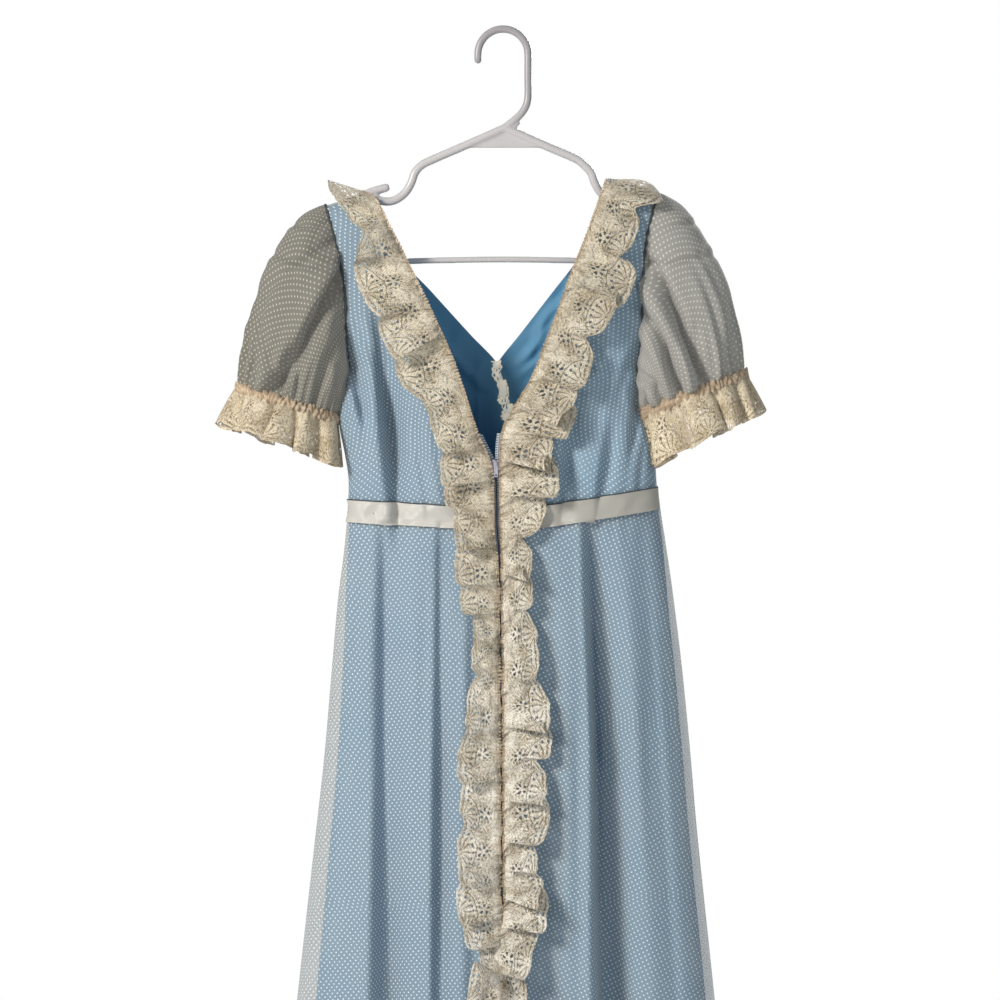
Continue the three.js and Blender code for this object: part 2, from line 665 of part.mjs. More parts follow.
function sliderGeometry() {
  const { wide, high } = SLIDER;
  const shield = new THREE.Shape();
  shield.moveTo(-wide / 2, high / 2);
  shield.lineTo(-wide * 0.14, high / 2);
  shield.lineTo(0, high * 0.36);
  shield.lineTo(wide * 0.14, high / 2);
  shield.lineTo(wide / 2, high / 2);
  shield.quadraticCurveTo(wide * 0.44, 0, wide * 0.3, -high / 2);
  shield.lineTo(-wide * 0.3, -high / 2);
  shield.quadraticCurveTo(-wide * 0.44, 0, -wide / 2, high / 2);
  const body = new THREE.ExtrudeGeometry(shield, { depth: SLIDER.deep, bevelEnabled: false, curveSegments: 4 });
  body.rotateX(Math.PI / 2);
  const side = new THREE.Shape();
  side.moveTo(-0.5, -high * 0.4);
  side.lineTo(SLIDER.reach - 1.6, -high * 0.4);
  side.absarc(SLIDER.reach - 1.9, 1.2, 2.1, -0.6, Math.PI / 2, false);
  side.lineTo(-0.5, 3.3);
  side.closePath();
  const hole = new THREE.Path();
  hole.absarc(SLIDER.reach - 1.9, 1.2, SLIDER.hole, 0, 2 * Math.PI, false);
  side.holes.push(hole);
  const lug = new THREE.ExtrudeGeometry(side, { depth: SLIDER.lug, bevelEnabled: false, curveSegments: 5 });
  const turn = new THREE.Matrix4().set(0, 0, 1, -SLIDER.lug / 2, -1, 0, 0, -SLIDER.deep, 0, 1, 0, 0, 0, 0, 0, 1);
  return join([body, lug.applyMatrix4(turn)]);
}

function pullGeometry() {
  const tab = new THREE.Shape();
  const half = PULL.wide / 2;
  tab.moveTo(-half, PULL.bar / 2);
  tab.lineTo(-half * 0.86, -PULL.length * 0.7);
  tab.absarc(0, -PULL.length + half, half * 0.86, Math.PI, 2 * Math.PI, false);
  tab.lineTo(half, PULL.bar / 2);
  tab.closePath();
  const slot = new THREE.Path();
  const narrow = SLIDER.lug / 2 + 0.25;
  slot.moveTo(-narrow, -PULL.bar / 2);
  slot.lineTo(narrow, -PULL.bar / 2);
  slot.lineTo(narrow, -PULL.bar / 2 - PULL.slot);
  slot.lineTo(-narrow, -PULL.bar / 2 - PULL.slot);
  slot.closePath();
  const eye = new THREE.Path();
  eye.absarc(0, -PULL.length + half, PULL.hole, 0, 2 * Math.PI, false);
  tab.holes.push(slot, eye);
  const body = new THREE.ExtrudeGeometry(tab, { depth: PULL.thick, bevelEnabled: false, curveSegments: 6 });
  return body.rotateX(Math.PI / 2).translate(0, PULL.thick / 2, 0);
}

function solid(geometry) {
  const bare = geometry.clone();
  bare.deleteAttribute('normal');
  bare.deleteAttribute('uv');
  const merged = mergeVertices(bare, 1e-4);
  const mesh = new wasm.Mesh({
    numProp: 3,
    vertProperties: new Float32Array(merged.attributes.position.array),
    triVerts: new Uint32Array(merged.index.array),
  });
  return new wasm.Manifold(mesh);
}

function join(geometries) {
  const whole = geometries.map(solid).reduce((sum, piece) => sum.add(piece));
  const mesh = whole.getMesh();
  const geometry = new THREE.BufferGeometry();
  geometry.setAttribute('position', new THREE.BufferAttribute(mesh.vertProperties, 3));
  geometry.setIndex(new THREE.BufferAttribute(mesh.triVerts, 1));
  return geometry;
}

function tube(points, radius, steps) {
  const section = new THREE.Shape();
  section.absarc(0, 0, radius, 0, 2 * Math.PI, false);
  const path = new THREE.CatmullRomCurve3(points.map(([x, z]) => new THREE.Vector3(x, 0, z)));
  const cut = { extrudePath: path, steps, curveSegments: TUBE_SIDES / 2 };
  return new THREE.ExtrudeGeometry(section, cut);
}

function ball(x, z, radius) {
  return new THREE.SphereGeometry(radius, TUBE_SIDES, 4).rotateX(Math.PI / 2).translate(x, 0, z);
}

// The hanger's lines for its left half, as x and z. The arm dips below the strap prong.
const ARM = [[2, -95], [-40, -113.5], [-70, -126.5], [-81, -132], [-88, -139.5], [-91, -148],
  [-96, -157.5], [-104, -165], [-113, -168.5], [-123, -167.5], [-133, -161.5]];
const SHOULDER_ARM = [[-117, -154.8], [-133, -159.5], [-158, -172.5], [-176, -184.5], [-188, -195],
  [-194, -205], [-195.5, -213], [-190.5, -221.5], [-180, -226.5]];
const mirrored = (points) => points.map(([x, z]) => [4 - x, z]);
const flipped = (points) => points.map(([x, z]) => [-x, z]);

function hangerGeometry() {
  const { radius, tube: thick, tip, shank } = HOOK;
  const middle = thick - radius;
  const crown = [];
  for (let i = 0; i <= 10; i += 1) {
    const angle = Math.PI * (1 - i / 10);
    crown.push([radius * Math.cos(angle), middle + radius * Math.sin(angle)]);
  }
  const stem = [[radius, shank], [23, -73], [17.5, -81.5], [9, -89], [2, -94.5]];
  const hook = [[-radius, tip - 2], ...crown, [radius, -45], ...stem];
  const web = new THREE.Shape([[-39, -115], [38, -115], [9, -97], [17, -90], [10, -85], [-1, -95]]
    .map(([x, z]) => new THREE.Vector2(x, z)));
  const plate = new THREE.ExtrudeGeometry(web, { depth: 3, bevelEnabled: false });
  plate.rotateX(Math.PI / 2).translate(0, 1.5, 0);
  const rightArm = [ARM[0], ...mirrored(ARM.slice(1, 3)), ...flipped(ARM.slice(3))];
  const end = SHOULDER_ARM[SHOULDER_ARM.length - 1];
  const bar = [end, [-150, BAR_LOW], [-70, BAR_MIDDLE - 1.5], [0, BAR_MIDDLE], [70, BAR_MIDDLE - 1.5],
    [150, BAR_LOW], [-end[0], end[1]]];
  const [prong] = SHOULDER_ARM;
  return join([
    tube(hook, thick, 28),
    ball(-radius, tip - 2, thick),
    ball(2, -95, ARM_TUBE + 0.4),
    plate,
    tube(ARM, ARM_TUBE, 13),
    tube(rightArm, ARM_TUBE, 13),
    tube(SHOULDER_ARM, ARM_TUBE, 11),
    tube(flipped(SHOULDER_ARM), ARM_TUBE, 11),
    ball(prong[0], prong[1], ARM_TUBE + 0.1),
    ball(-prong[0], prong[1], ARM_TUBE + 0.1),
    tube(bar, BAR_TUBE, 8),
    ball(end[0], end[1], ARM_TUBE + 0.1),
    ball(-end[0], end[1], ARM_TUBE + 0.1),
  ]);
}

const dress = new THREE.Group();

function add(name, material, geometry) {
  const mesh = new THREE.Mesh(geometry, new THREE.MeshStandardMaterial(MATERIALS[material]));
  mesh.name = name;
  dress.add(mesh);
  return mesh;
}

add('hanger', 'plastic', hangerGeometry());

for (const face of ['front', 'back']) {
  for (const half of ['left', 'right']) {
    const panel = bodicePanel(face, half);
    add(`bodice_${face}_${half}`, 'overlay', wall(panel, { face }));
    add(`bodice_lining_${face}_${half}`, 'lining', wall(panel, { out: -LINING_IN, face }));
  }
}

for (const half of ['left', 'right']) {
  add(`skirt_front_${half}`, 'overlay', wall(skirtPanel('front', half, false), { face: 'front' }));
  add(`skirt_lining_front_${half}`, 'lining', wall(skirtPanel('front', half, true), { face: 'front' }));
}
add('skirt_back', 'overlay', wall(skirtPanel('back', 'whole', false, 8, 28), { face: 'back' }));
add('skirt_lining_back', 'lining', wall(skirtPanel('back', 'whole', true, 8, 28), { face: 'back' }));

for (const half of ['left', 'right']) {
  add(`sleeve_${half}`, 'sheer', wall(sleeveGrid(half), { round: true }));
  add(`cuff_lace_${half}`, 'lace', wall(cuffGrid(half), { round: true }));
  const { neck, skirt, back } = RUFFLE_WAVES;
  const top = NECK.front[half][0].z;
  const upper = ruffleGrid(half, top, RUFFLE_SPLIT, neck, neck * 4 + 1);
  const lower = ruffleGrid(half, RUFFLE_SPLIT - SEAM, RUFFLE_HEM, skirt, skirt * 3 + 1);
  add(`neck_ruffle_front_${half}`, 'lace', wall(upper));
  add(`skirt_ruffle_${half}`, 'lace', wall(lower));
  add(`neck_ruffle_back_${half}`, 'lace', wall(backRuffleGrid(half, back * 4 + 1)));
  add(`zip_tape_${half}`, 'tape', wall(tapeGrid(half), { out: -TAPE_IN }));
}
add('neck_strip_inside', 'lace', wall(insideStripGrid()));

add('ribbon_front_left', 'ribbon', wall(ribbonGrid('front', null, -14, 14), { out: RIBBON_OUT, face: 'front' }));
add('ribbon_front_right', 'ribbon', wall(ribbonGrid('front', 2, null, 14), { out: RIBBON_OUT, face: 'front' }));
add('ribbon_back', 'ribbon', wall(ribbonGrid('back', null, null, 24), { out: RIBBON_OUT, face: 'back' }));

const slider = sliderPlace();
add('zip_slider', 'metal', sliderGeometry()).position.copy(slider);
const hinge = new THREE.Vector3(0, -SLIDER.deep - SLIDER.reach + 1.9, 1.2).add(slider);
add('zip_pull', 'metal', pullGeometry()).position.copy(hinge);

export default dress;
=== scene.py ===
"""A floor-length prairie dress on a tubular hanger: dotted sheer over blue, lace ruffles."""

import math

import bpy
import numpy as np
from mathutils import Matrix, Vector


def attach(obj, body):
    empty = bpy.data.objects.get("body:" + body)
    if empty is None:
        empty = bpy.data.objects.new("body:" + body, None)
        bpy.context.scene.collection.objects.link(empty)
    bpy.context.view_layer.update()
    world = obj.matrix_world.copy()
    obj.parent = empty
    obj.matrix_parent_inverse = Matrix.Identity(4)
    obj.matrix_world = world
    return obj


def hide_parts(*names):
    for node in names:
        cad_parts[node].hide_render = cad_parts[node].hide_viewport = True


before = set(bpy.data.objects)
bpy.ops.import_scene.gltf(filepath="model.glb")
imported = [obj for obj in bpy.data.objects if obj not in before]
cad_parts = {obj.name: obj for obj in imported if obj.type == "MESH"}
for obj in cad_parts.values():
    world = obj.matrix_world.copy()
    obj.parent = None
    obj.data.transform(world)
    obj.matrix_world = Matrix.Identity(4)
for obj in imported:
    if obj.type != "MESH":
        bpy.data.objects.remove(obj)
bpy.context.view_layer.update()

# Driving sizes in millimetres, as the frame has them
MM = 0.001
LINING_IN = 1.6
RIBBON_OUT = 2.4
RIBBON_WIDTH = 22.0
HEADING_OUT = 4.0
HEADING_PITCH = 3.8
WAIST_LEVEL = -487.0
WAIST_ENDS = (-157, 158)
SKIRT_TOP = -480.0
HEM = -1522.0
LINING_HEM = -1498.0
ZIP_TOP = -401.0
ZIP_END = -861.0
ZIP_HALF_GAP = 5.0
TAPE_IN = 4.2
TAPE_THICK = 0.5
TEETH_PITCH = 2.4
SLIDER_AT = -432.0
UNDERARM = -335.0
CENTRE_BACK = -6.0
FLATNESS = 3
CAP_HEIGHT = 45.0
LINING_AT_ZIP = 1.8
SLEEVE_AROUND = 366.0
CUFF_AROUND = 330.0
RUFFLE_HEM = -1517.0
BACK_RUFFLE_END = -326.0
BACK_RUFFLE_WIDTH = 46.0
DOT_PITCH = 6.1
DOT_SIZE = 1.6
LACE_MOTIF = 38.0
LACE_DEPTH = 50.0
WAY = {"left": -1, "right": 1}
HALVES = ("left", "right")
NO_INSET = {"left": 0.0, "right": 0.0, "deep": 0.0}


def table(names, *rows):
    """A short table as named columns."""
    return dict(zip(names.split(), np.array(rows, float).T))


# The garment's lines, in millimetres: each by height, or as a line across.
BODY = table(
    "z left right front back",
    (-140, -214, 194, 26, 24), (-215, -194, 174, 31, 27), (-270, -179, 159, 38, 33),
    (-310, -164, 145, 42, 35), (-335, -153.5, 134.5, 43, 36), (-342, -157, 136.8, 43.5, 36.5),
    (-354, -161, 138, 44, 37), (-374, -165.5, 140.5, 44, 37), (-398, -163, 147.5, 43, 36),
    (-420, -158.5, 151.5, 43, 36), (-447, -154.5, 153.5, 41, 35), (-487, -156, 157, 36, 31),
    (-520, -159, 162, 38, 33), (-567, -165, 169, 42, 36), (-647, -172, 179, 49, 42),
    (-727, -179, 187, 54, 47), (-807, -188, 194, 60, 52), (-967, -206, 211, 70, 62),
    (-1250, -237, 240, 86, 78), (-1522, -264, 266, 100, 92),
)
LINING_INSET = table(
    "z left right deep",
    (-480, 1.8, 1.8, 1.8), (-520, 4, 3, 4), (-607, 10, 7, 7), (-967, 19, 9, 9),
    (-1522, 32, 16, 12),
)
SHOULDERS = {
    "left": table("x z", (-177, -172.4), (-163, -168), (-150, -164), (-138, -160)),
    "right": table("x z", (105, -145.2), (116, -146.8), (133, -151), (154, -160.2)),
}
ARMHOLES = {
    "left": table(
        "z x",
        (-172.4, -177), (-204, -168), (-245, -159), (-270, -156.5), (-311, -155), (-335, -153.3),
    ),
    "right": table(
        "z x",
        (-160.2, 154), (-198, 144), (-229, 140), (-270, 138), (-304, 137.5), (-335, 134.3),
    ),
}
NECK = {
    ("front", "left"): table(
        "z x",
        (-160, -138), (-167, -129.5), (-181, -121), (-195, -114.5), (-216, -103.5), (-275, -75),
        (-319, -55), (-357, -41), (-401, -27), (-430, -14), (-447, -12), (-487, -11),
    ),
    ("front", "right"): table(
        "z x",
        (-145.2, 105), (-166, 98), (-206, 84), (-243, 69), (-277, 57), (-313, 43), (-344, 31),
        (-367, 18), (-396, 2), (-430, -1.5), (-487, -1),
    ),
    ("back", "left"): table(
        "z x",
        (-160, -138), (-181, -124), (-229, -98), (-256, -73), (-300, -33), (-328, -6.5),
        (-336, -6), (-487, -6),
    ),
    ("back", "right"): table(
        "z x",
        (-145.2, 105), (-190, 94), (-229, 72), (-256, 51), (-300, 17), (-328, -5), (-336, -6),
        (-487, -6),
    ),
}
WAIST = {
    "front": table("x z", (-157, -478), (-50, -484), (0, -486), (45, -483), (158, -465)),
    "back": table("x z", (-157, -478), (0, -476), (158, -465)),
}
ZIP_LINE = table(
    "z x", (-430, -7), (-490, -6), (-530, -3.5), (-650, -2), (-861, -1), (-1522, 1)
)
FOLDS = {
    "front": table(
        "top hem wide deep lean",
        (-137, -215, 14, 13, 0.3), (-117, -117, 19, 42, 0.45), (-62, -68, 11, 20, 0.55),
        (-28, -30, 9, 12, 0), (34, 40, 12, 15, 0.3), (86, 114, 17, 62, 0.78),
        (138, 205, 16, 14, -0.3),
    ),
    "back": table(
        "top hem wide deep lean",
        (-130, -195, 16, 18, 0.3), (-92, -128, 15, 30, -0.4), (-40, -52, 18, 20, 0.2),
        (18, 22, 13, 28, 0.5), (74, 100, 19, 20, -0.2), (125, 184, 15, 26, 0.4),
    ),
}
# Finer folds that the skirt also hangs in: their place at the waist and hem, width, depth, and
# the height where they start.
FINE_FOLDS = {
    "front": table(
        "top hem wide deep start",
        (-146, -236, 6, 4.0, -520), (-124, -174, 9, 4.5, -560), (-94, -140, 7, 4.0, -700),
        (-80, -84, 6, 4.2, -500), (-62, -50, 5, 4.5, -600), (-44, -46, 5, 3.4, -530),
        (50, 62, 7, 4.5, -500), (66, 88, 5, 4.2, -620), (98, 148, 8, 4.5, -520),
        (112, 166, 7, 5.0, -500), (128, 188, 7, 4.0, -600), (147, 238, 6, 3.4, -520),
    ),
    "back": table(
        "top hem wide deep start",
        (-146, -235, 6, 4.0, -500), (-112, -160, 8, 4.2, -560), (-66, -92, 7, 4.4, -520),
        (-12, -16, 6, 4.0, -600), (44, 60, 8, 4.4, -500), (98, 142, 7, 4.2, -560),
        (142, 228, 6, 3.6, -520),
    ),
}
BODICE_FOLDS = {
    "front": table(
        "x z wide high deep slant",
        (-113, -396, 13, 82, 32, -0.10), (-144, -355, 7, 34, 9, -0.2),
        (-82, -430, 7, 40, 7, -0.15), (131, -382, 6, 34, 14, 0.1), (84, -322, 12, 36, 11, 0.3),
        (64, -432, 9, 40, 12, 0.1), (100, -436, 7, 36, 7, 0.15),
    ),
    "back": table(
        "x z wide high deep slant",
        (-95, -400, 11, 60, 8, -0.1), (30, -430, 12, 45, 6, 0.05), (112, -385, 9, 50, 7, 0.2),
    ),
}
# Creases of the cloth, each a soft trough along a line seen from its own side.
CREASES = {
    "front": table(
        "x0 z0 x1 z1 wide deep",
        (-158, -262, -130, -330, 5, 2.4), (-154, -314, -137, -384, 4, 5.0),
        (-150, -350, -134, -440, 5, 2.6), (-124, -300, -100, -352, 6, 2.0),
        (-92, -395, -82, -470, 5, 2.6), (-66, -400, -54, -470, 4, 2.0),
        (-140, -450, -100, -474, 4, 1.6), (86, -492, 91, -720, 3.5, 6.0),
        (90, -700, 97, -1010, 4, 6.0), (136, -318, 114, -362, 4, 2.4),
        (129, -358, 148, -402, 3.5, 3.6), (140, -392, 139, -456, 3.5, 3.2),
        (110, -330, 92, -400, 6, 2.4), (72, -370, 64, -460, 5, 2.6),
        (112, -400, 98, -462, 4.5, 2.4), (100, -230, 120, -290, 6, 1.8),
        (40, -400, 36, -460, 5, 2.2),
    ),
    "back": table(
        "x0 z0 x1 z1 wide deep",
        (-156, -270, -128, -340, 5, 2.4), (-150, -350, -112, -430, 4.5, 2.4),
        (-70, -340, -60, -450, 6, 2.4), (42, -290, 40, -440, 1.8, 1.8),
        (62, -350, 72, -450, 5, 2.0), (80, -236, 52, -286, 4, 2.2), (66, -262, 36, -296, 4, 2.2),
        (60, -300, 22, -322, 4, 2.0), (136, -300, 110, -370, 4.5, 2.4),
        (140, -400, 100, -450, 4, 2.0), (-40, -300, -70, -380, 5, 2.6),
        (-22, -330, -44, -420, 4, 2.2), (-66, -296, -20, -352, 4, 3.4),
        (-20, -346, -30, -440, 4, 3.6), (24, -318, 44, -300, 3.5, 2.6),
        (18, -338, 40, -330, 3, 2.2),
    ),
}
SLEEVE_COLUMNS = "at outX outZ inX inZ front back"
SLEEVES = {
    "left": table(
        SLEEVE_COLUMNS,
        (0, -177, -172.4, -153.3, -335, 20, 17), (0.18, -197, -178, -153.5, -342, 38, 34),
        (0.36, -215, -189, -153, -348, 47, 42), (0.52, -233, -217, -153, -354, 50, 45),
        (0.68, -246, -258, -154, -362, 50, 45), (0.86, -258, -310, -161, -375, 42, 38),
        (1, -264, -353, -165.5, -383, 30, 30),
    ),
    "right": table(
        SLEEVE_COLUMNS,
        (0, 154, -160.2, 134.3, -335, 20, 17), (0.18, 175, -169, 132.2, -340.5, 38, 34),
        (0.36, 193, -182, 131.5, -347, 48, 42), (0.52, 211, -212, 132, -354, 51, 45),
        (0.68, 225, -248, 132, -362, 50, 45), (0.86, 236, -300, 133, -372, 42, 38),
        (1, 241, -339, 137, -378, 30, 30),
    ),
}
# Creases of the sleeves' fronts, as seen from the zip side.
SLEEVE_CREASES = {
    "left": table(
        "x0 z0 x1 z1 wide deep",
        (-157, -238, -232, -366, 6.5, 16.0), (-168, -206, -236, -262, 6, 3.6),
        (-230, -223, -176, -232, 4, 3.0), (-224, -191, -178, -190, 3, 2.4),
        (-244, -296, -214, -368, 5, 3.6), (-164, -306, -190, -374, 5, 5.0),
        (-252, -318, -246, -358, 4, 3.0), (-163, -339, -168, -380, 3.5, 4.0),
        (-206, -338, -200, -368, 4, 3.0), (-158, -240, -206, -318, 3.2, 4.0),
        (-166, -310, -188, -370, 2.8, 3.5),
    ),
    "right": table(
        "x0 z0 x1 z1 wide deep",
        (145, -238, 201, -350, 6.5, 20.0), (146, -296, 178, -358, 5, 13.0),
        (137, -338, 157, -366, 4, 7.0), (208, -222, 160, -230, 4, 3.0),
        (198, -190, 158, -202, 3, 2.4), (226, -276, 219, -350, 5, 3.6),
        (150, -330, 157, -370, 4, 3.6), (231, -288, 232, -345, 3, 3.6),
        (147, -234, 168, -276, 2.6, 6.0), (170, -286, 202, -350, 3.4, 5.0),
        (147, -292, 180, -358, 2.6, 4.5), (146, -350, 158, -364, 2.4, 3.0),
        (190, -300, 196, -352, 4, 3.0),
    ),
}
CUFFS = {
    "left": {"outX": -277, "outZ": -394, "inX": -167, "inZ": -431, "front": 42, "back": 38},
    "right": {"outX": 254, "outZ": -381, "inX": 154, "inZ": -432, "front": 42, "back": 38},
}
FLUTES = 10
FLUTE_SWING = 10.0
FLUTE_LAP = 7.5
RUFFLES = {
    "left": table(
        "z width drop",
        (-160, 33, -12), (-167, 36, 0), (-181, 29, 6), (-194, 23, 5), (-205, 38, 10),
        (-217, 50, 12), (-232, 54, 12), (-255, 49, 18), (-310, 48, 20), (-345, 43, 17),
        (-385, 38, 11), (-440, 47, 2), (-478, 41, 0), (-496, 34, 0), (-535, 43, 0), (-564, 34, 0),
        (-596, 22, 0), (-660, 30, 0), (-714, 35, 0), (-843, 40, 0), (-889, 35, 0), (-915, 21, 0),
        (-967, 40, 0), (-1060, 43, 0), (-1180, 36, 0), (-1330, 45, 0), (-1517, 42, 0),
    ),
    "right": table(
        "z width drop",
        (-146, 50, 3), (-156, 57, 8), (-169, 37, 13), (-181, 38, 17), (-204, 37, 20),
        (-218, 47, 20), (-235, 49, 20), (-262, 46, 19), (-290, 40, 16), (-325, 44, 16),
        (-352, 40, 14), (-392, 56, 6), (-420, 50, 2), (-449, 51, 0), (-482, 40, 0), (-500, 25, 0),
        (-550, 28, 0), (-600, 27, 0), (-650, 37, 0), (-689, 45, 0), (-751, 37, 0), (-773, 40, 0),
        (-815, 30, 0), (-862, 38, 0), (-907, 35, 0), (-967, 30, 0), (-1060, 41, 0), (-1200, 34, 0),
        (-1350, 44, 0), (-1517, 40, 0),
    ),
}
# How far the ruffles' waves swing out and how far they fold over, by height.
SWINGS = {
    "left": table(
        "z out over",
        (-160, 5, 0), (-181, 9, 1), (-205, 13, 4), (-225, 9, 8), (-330, 6.5, 6), (-400, 6, 6),
        (-480, 7, 7), (-560, 8, 8), (-640, 6, 7), (-850, 8, 9), (-910, 12, 15), (-1250, 12, 14),
        (-1517, 8.5, 12),
    ),
    "right": table(
        "z out over",
        (-146, 7, 8), (-200, 8, 10), (-300, 8, 11), (-380, 8, 11), (-450, 7, 10), (-520, 7, 9),
        (-640, 6, 9), (-850, 8, 10), (-910, 12, 16), (-1250, 12, 14), (-1517, 8.5, 12),
    ),
}
RUFFLE_WAVES = {"front": 35, "back": 7}
STRIP = {"x": -8, "top": -327, "low": -400, "width": 10, "waves": 7}

# The hanger: its radii, and the middle lines of its tubes
HOOK_RADIUS = 25.0
HOOK_TUBE = 4.0
ARM_TUBE = 4.4
BAR_TUBE = 3.2
ARM = table(
    "x z",
    (2, -95), (-40, -113.5), (-70, -126.5), (-81, -132), (-88, -139.5), (-91, -148), (-96, -157.5),
    (-104, -165), (-113, -168.5), (-123, -167.5), (-133, -161.5),
)
SHOULDER_ARM = table(
    "x z",
    (-117, -154.8), (-133, -159.5), (-158, -172.5), (-176, -184.5), (-188, -195), (-194, -205),
    (-195.5, -213), (-190.5, -221.5), (-180, -226.5),
)
BAR = table("x z", (-150, -229.5), (-70, -227.5), (0, -226.5), (70, -227.5), (150, -229.5))
HANGER_WEB = (
    (-41, -115), (40, -115), (22, -105), (11, -97), (18, -90), (10, -84), (-1, -93), (-20, -105),
)


def each_row(tab):
    """The rows of a table, one by one."""
    return zip(*tab.values())


def mix(a, b, t):
    return a + (b - a) * t


def ease(t):
    t = np.clip(t, 0, 1)
    return t * t * (3 - 2 * t)


def bell(distance, wide):
    return np.exp(-((distance / wide) ** 2))


def curve(tab, key, at, value):
    """One column where another has a given value, along a smooth curve."""
    keys, values = tab[key], tab[value]
    at = np.asarray(at, float)
    if keys[-1] < keys[0]:
        keys, at = -keys, -at
    slope = np.empty_like(values)
    slope[1:-1] = (values[2:] - values[:-2]) / (keys[2:] - keys[:-2])
    slope[0] = (values[1] - values[0]) / (keys[1] - keys[0])
    slope[-1] = (values[-1] - values[-2]) / (keys[-1] - keys[-2])
    i = np.clip(np.searchsorted(keys, at, side="right") - 1, 0, len(keys) - 2)
    step = keys[i + 1] - keys[i]
    t = np.clip((at - keys[i]) / step, 0, 1)
    near = (2 * t**3 - 3 * t**2 + 1) * values[i] + (t**3 - 2 * t**2 + t) * step * slope[i]
    far = (3 * t**2 - 2 * t**3) * values[i + 1] + (t**3 - t**2) * step * slope[i + 1]
    return near + far


def trough(distance, wide, lean):
    """A trough across a fold; one that leans has a steep wall on the side of lower x."""
    return bell(distance, wide * np.where(distance < 0, 1 - lean, 1 + lean))


def shoulder_height(x):
    x = np.asarray(x, float)
    left, right = (curve(SHOULDERS[half], "x", x, "z") for half in HALVES)
    return np.where(x < 0, left, right)


def crease_depth(lines, x, z):
    """Soft troughs along short lines, deepest in the middle of each."""
    depth = np.zeros(np.broadcast(x, z).shape)
    for x0, z0, x1, z1, wide, deep in each_row(lines):
        dx, dz = x1 - x0, z1 - z0
        run = math.hypot(dx, dz)
        along = ((x - x0) * dx + (z - z0) * dz) / (dx * dx + dz * dz)
        near = np.clip(along, 0, 1)
        side = ((x - x0) * dz - (z - z0) * dx) / run + 3 * np.sin(3 * along + x0)
        ends = bell((along - near) * run, 2.5 * wide)
        depth += deep * bell(side, wide) * ends * (0.55 + 0.45 * np.sin(np.pi * near))
        depth -= 0.35 * deep * bell(side - 2.1 * wide, 1.2 * wide) * ends
    return depth


def fold_depth(face, x, z):
    """How deep the folds press in, as in the frame."""
    down = np.clip((z - WAIST_LEVEL) / (HEM - WAIST_LEVEL), 0, 1)
    depth = np.zeros(np.broadcast(x, z).shape)
    for top, hem, wide, deep, lean in each_row(FOLDS[face]):
        middle = mix(top, hem, down)
        depth += deep * down**0.45 * trough(x - middle, wide * mix(0.7, 1.4, down), lean)
    for x0, z0, wide, high, deep, slant in each_row(BODICE_FOLDS[face]):
        depth += deep * trough(x - x0 - slant * (z - z0), wide, 0.45) * bell(z - z0, high)
    return depth


def fine_depth(face, x, z):
    """The finer folds, the creases and the gathers under the waist."""
    down = np.clip((z - WAIST_LEVEL) / (HEM - WAIST_LEVEL), 0, 1)
    depth = np.zeros(np.broadcast(x, z).shape)
    for top, hem, wide, deep, start in each_row(FINE_FOLDS[face]):
        begun = ease((start - z) / 160)
        middle = mix(top, hem, down) + 2.5 * np.sin(z / 90 + top)
        uneven = 0.75 + 0.25 * np.sin(z / 130 + hem)
        depth += deep * begun * uneven * bell(x - middle, wide * mix(0.9, 2.2, down))
        depth -= 0.4 * deep * begun * bell(x - middle - 3 * wide, 2 * wide)
    gathers = np.cos(x / 2.9 + 2.2 * np.sin(x / 17)) * bell(z + 492, 26) * 0.5
    return depth + crease_depth(CREASES[face], x, z) + gathers * (z < -470)


def cloth_y(face, x, z, inset=NO_INSET, fine=0.0):
    """The cloth's distance from the hanger's plane, negative on the front."""
    x, z = np.broadcast_arrays(np.asarray(x, float), np.asarray(z, float))
    from_zip = np.abs(x - curve(ZIP_LINE, "z", z, "x"))
    held = ease((from_zip - 12) / 45) if face == "front" else 1.0
    deep = np.minimum(inset["deep"], mix(LINING_AT_ZIP, inset["deep"], held))
    left = curve(BODY, "z", z, "left") + inset["left"]
    right = curve(BODY, "z", z, "right") - inset["right"]
    across = np.minimum(1, np.abs(x - (left + right) / 2) / ((right - left) / 2))
    rounding = np.sqrt(1 - across**FLATNESS)
    below = np.clip((shoulder_height(x) - z) / CAP_HEIGHT, 0, 1)
    cap = np.sqrt(1 - (1 - below) ** 2)
    depth = (curve(BODY, "z", z, face) - deep) * rounding * cap
    pressed = fold_depth(face, x, z)
    if fine:
        pressed = pressed + fine * fine_depth(face, x, z)
    stand = np.maximum(0.35, depth - pressed * np.minimum(1, depth / 30))
    return -stand if face == "front" else stand


def side_edge(half, z):
    above = curve(ARMHOLES[half], "z", z, "x")
    return np.where(z > UNDERARM, above, curve(BODY, "z", z, half))


def front_edge(half, z):
    gap = mix(ZIP_HALF_GAP, 0.2, ease((ZIP_END - z) / 12))
    return curve(ZIP_LINE, "z", z, "x") + WAY[half] * gap


def on_own_side(points, face, least=0.2):
    """Points kept off the hanger's plane, on their own side of it."""
    y = points[..., 1]
    points[..., 1] = np.minimum(y, -least) if face == "front" else np.maximum(y, least)
    return points


def grid(rows, columns):
    """Shares down and across, for a grid of rows and columns."""
    return np.meshgrid(np.linspace(0, 1, rows), np.linspace(0, 1, columns), indexing="ij")


def ring_grid(low, high, rows, columns):
    """Shares down and around, for a closed ring of points."""
    return np.meshgrid(np.linspace(low, high, rows), np.arange(columns) / columns, indexing="ij")


def unit(vectors):
    return vectors / np.maximum(np.linalg.norm(vectors, axis=-1, keepdims=True), 1e-9)


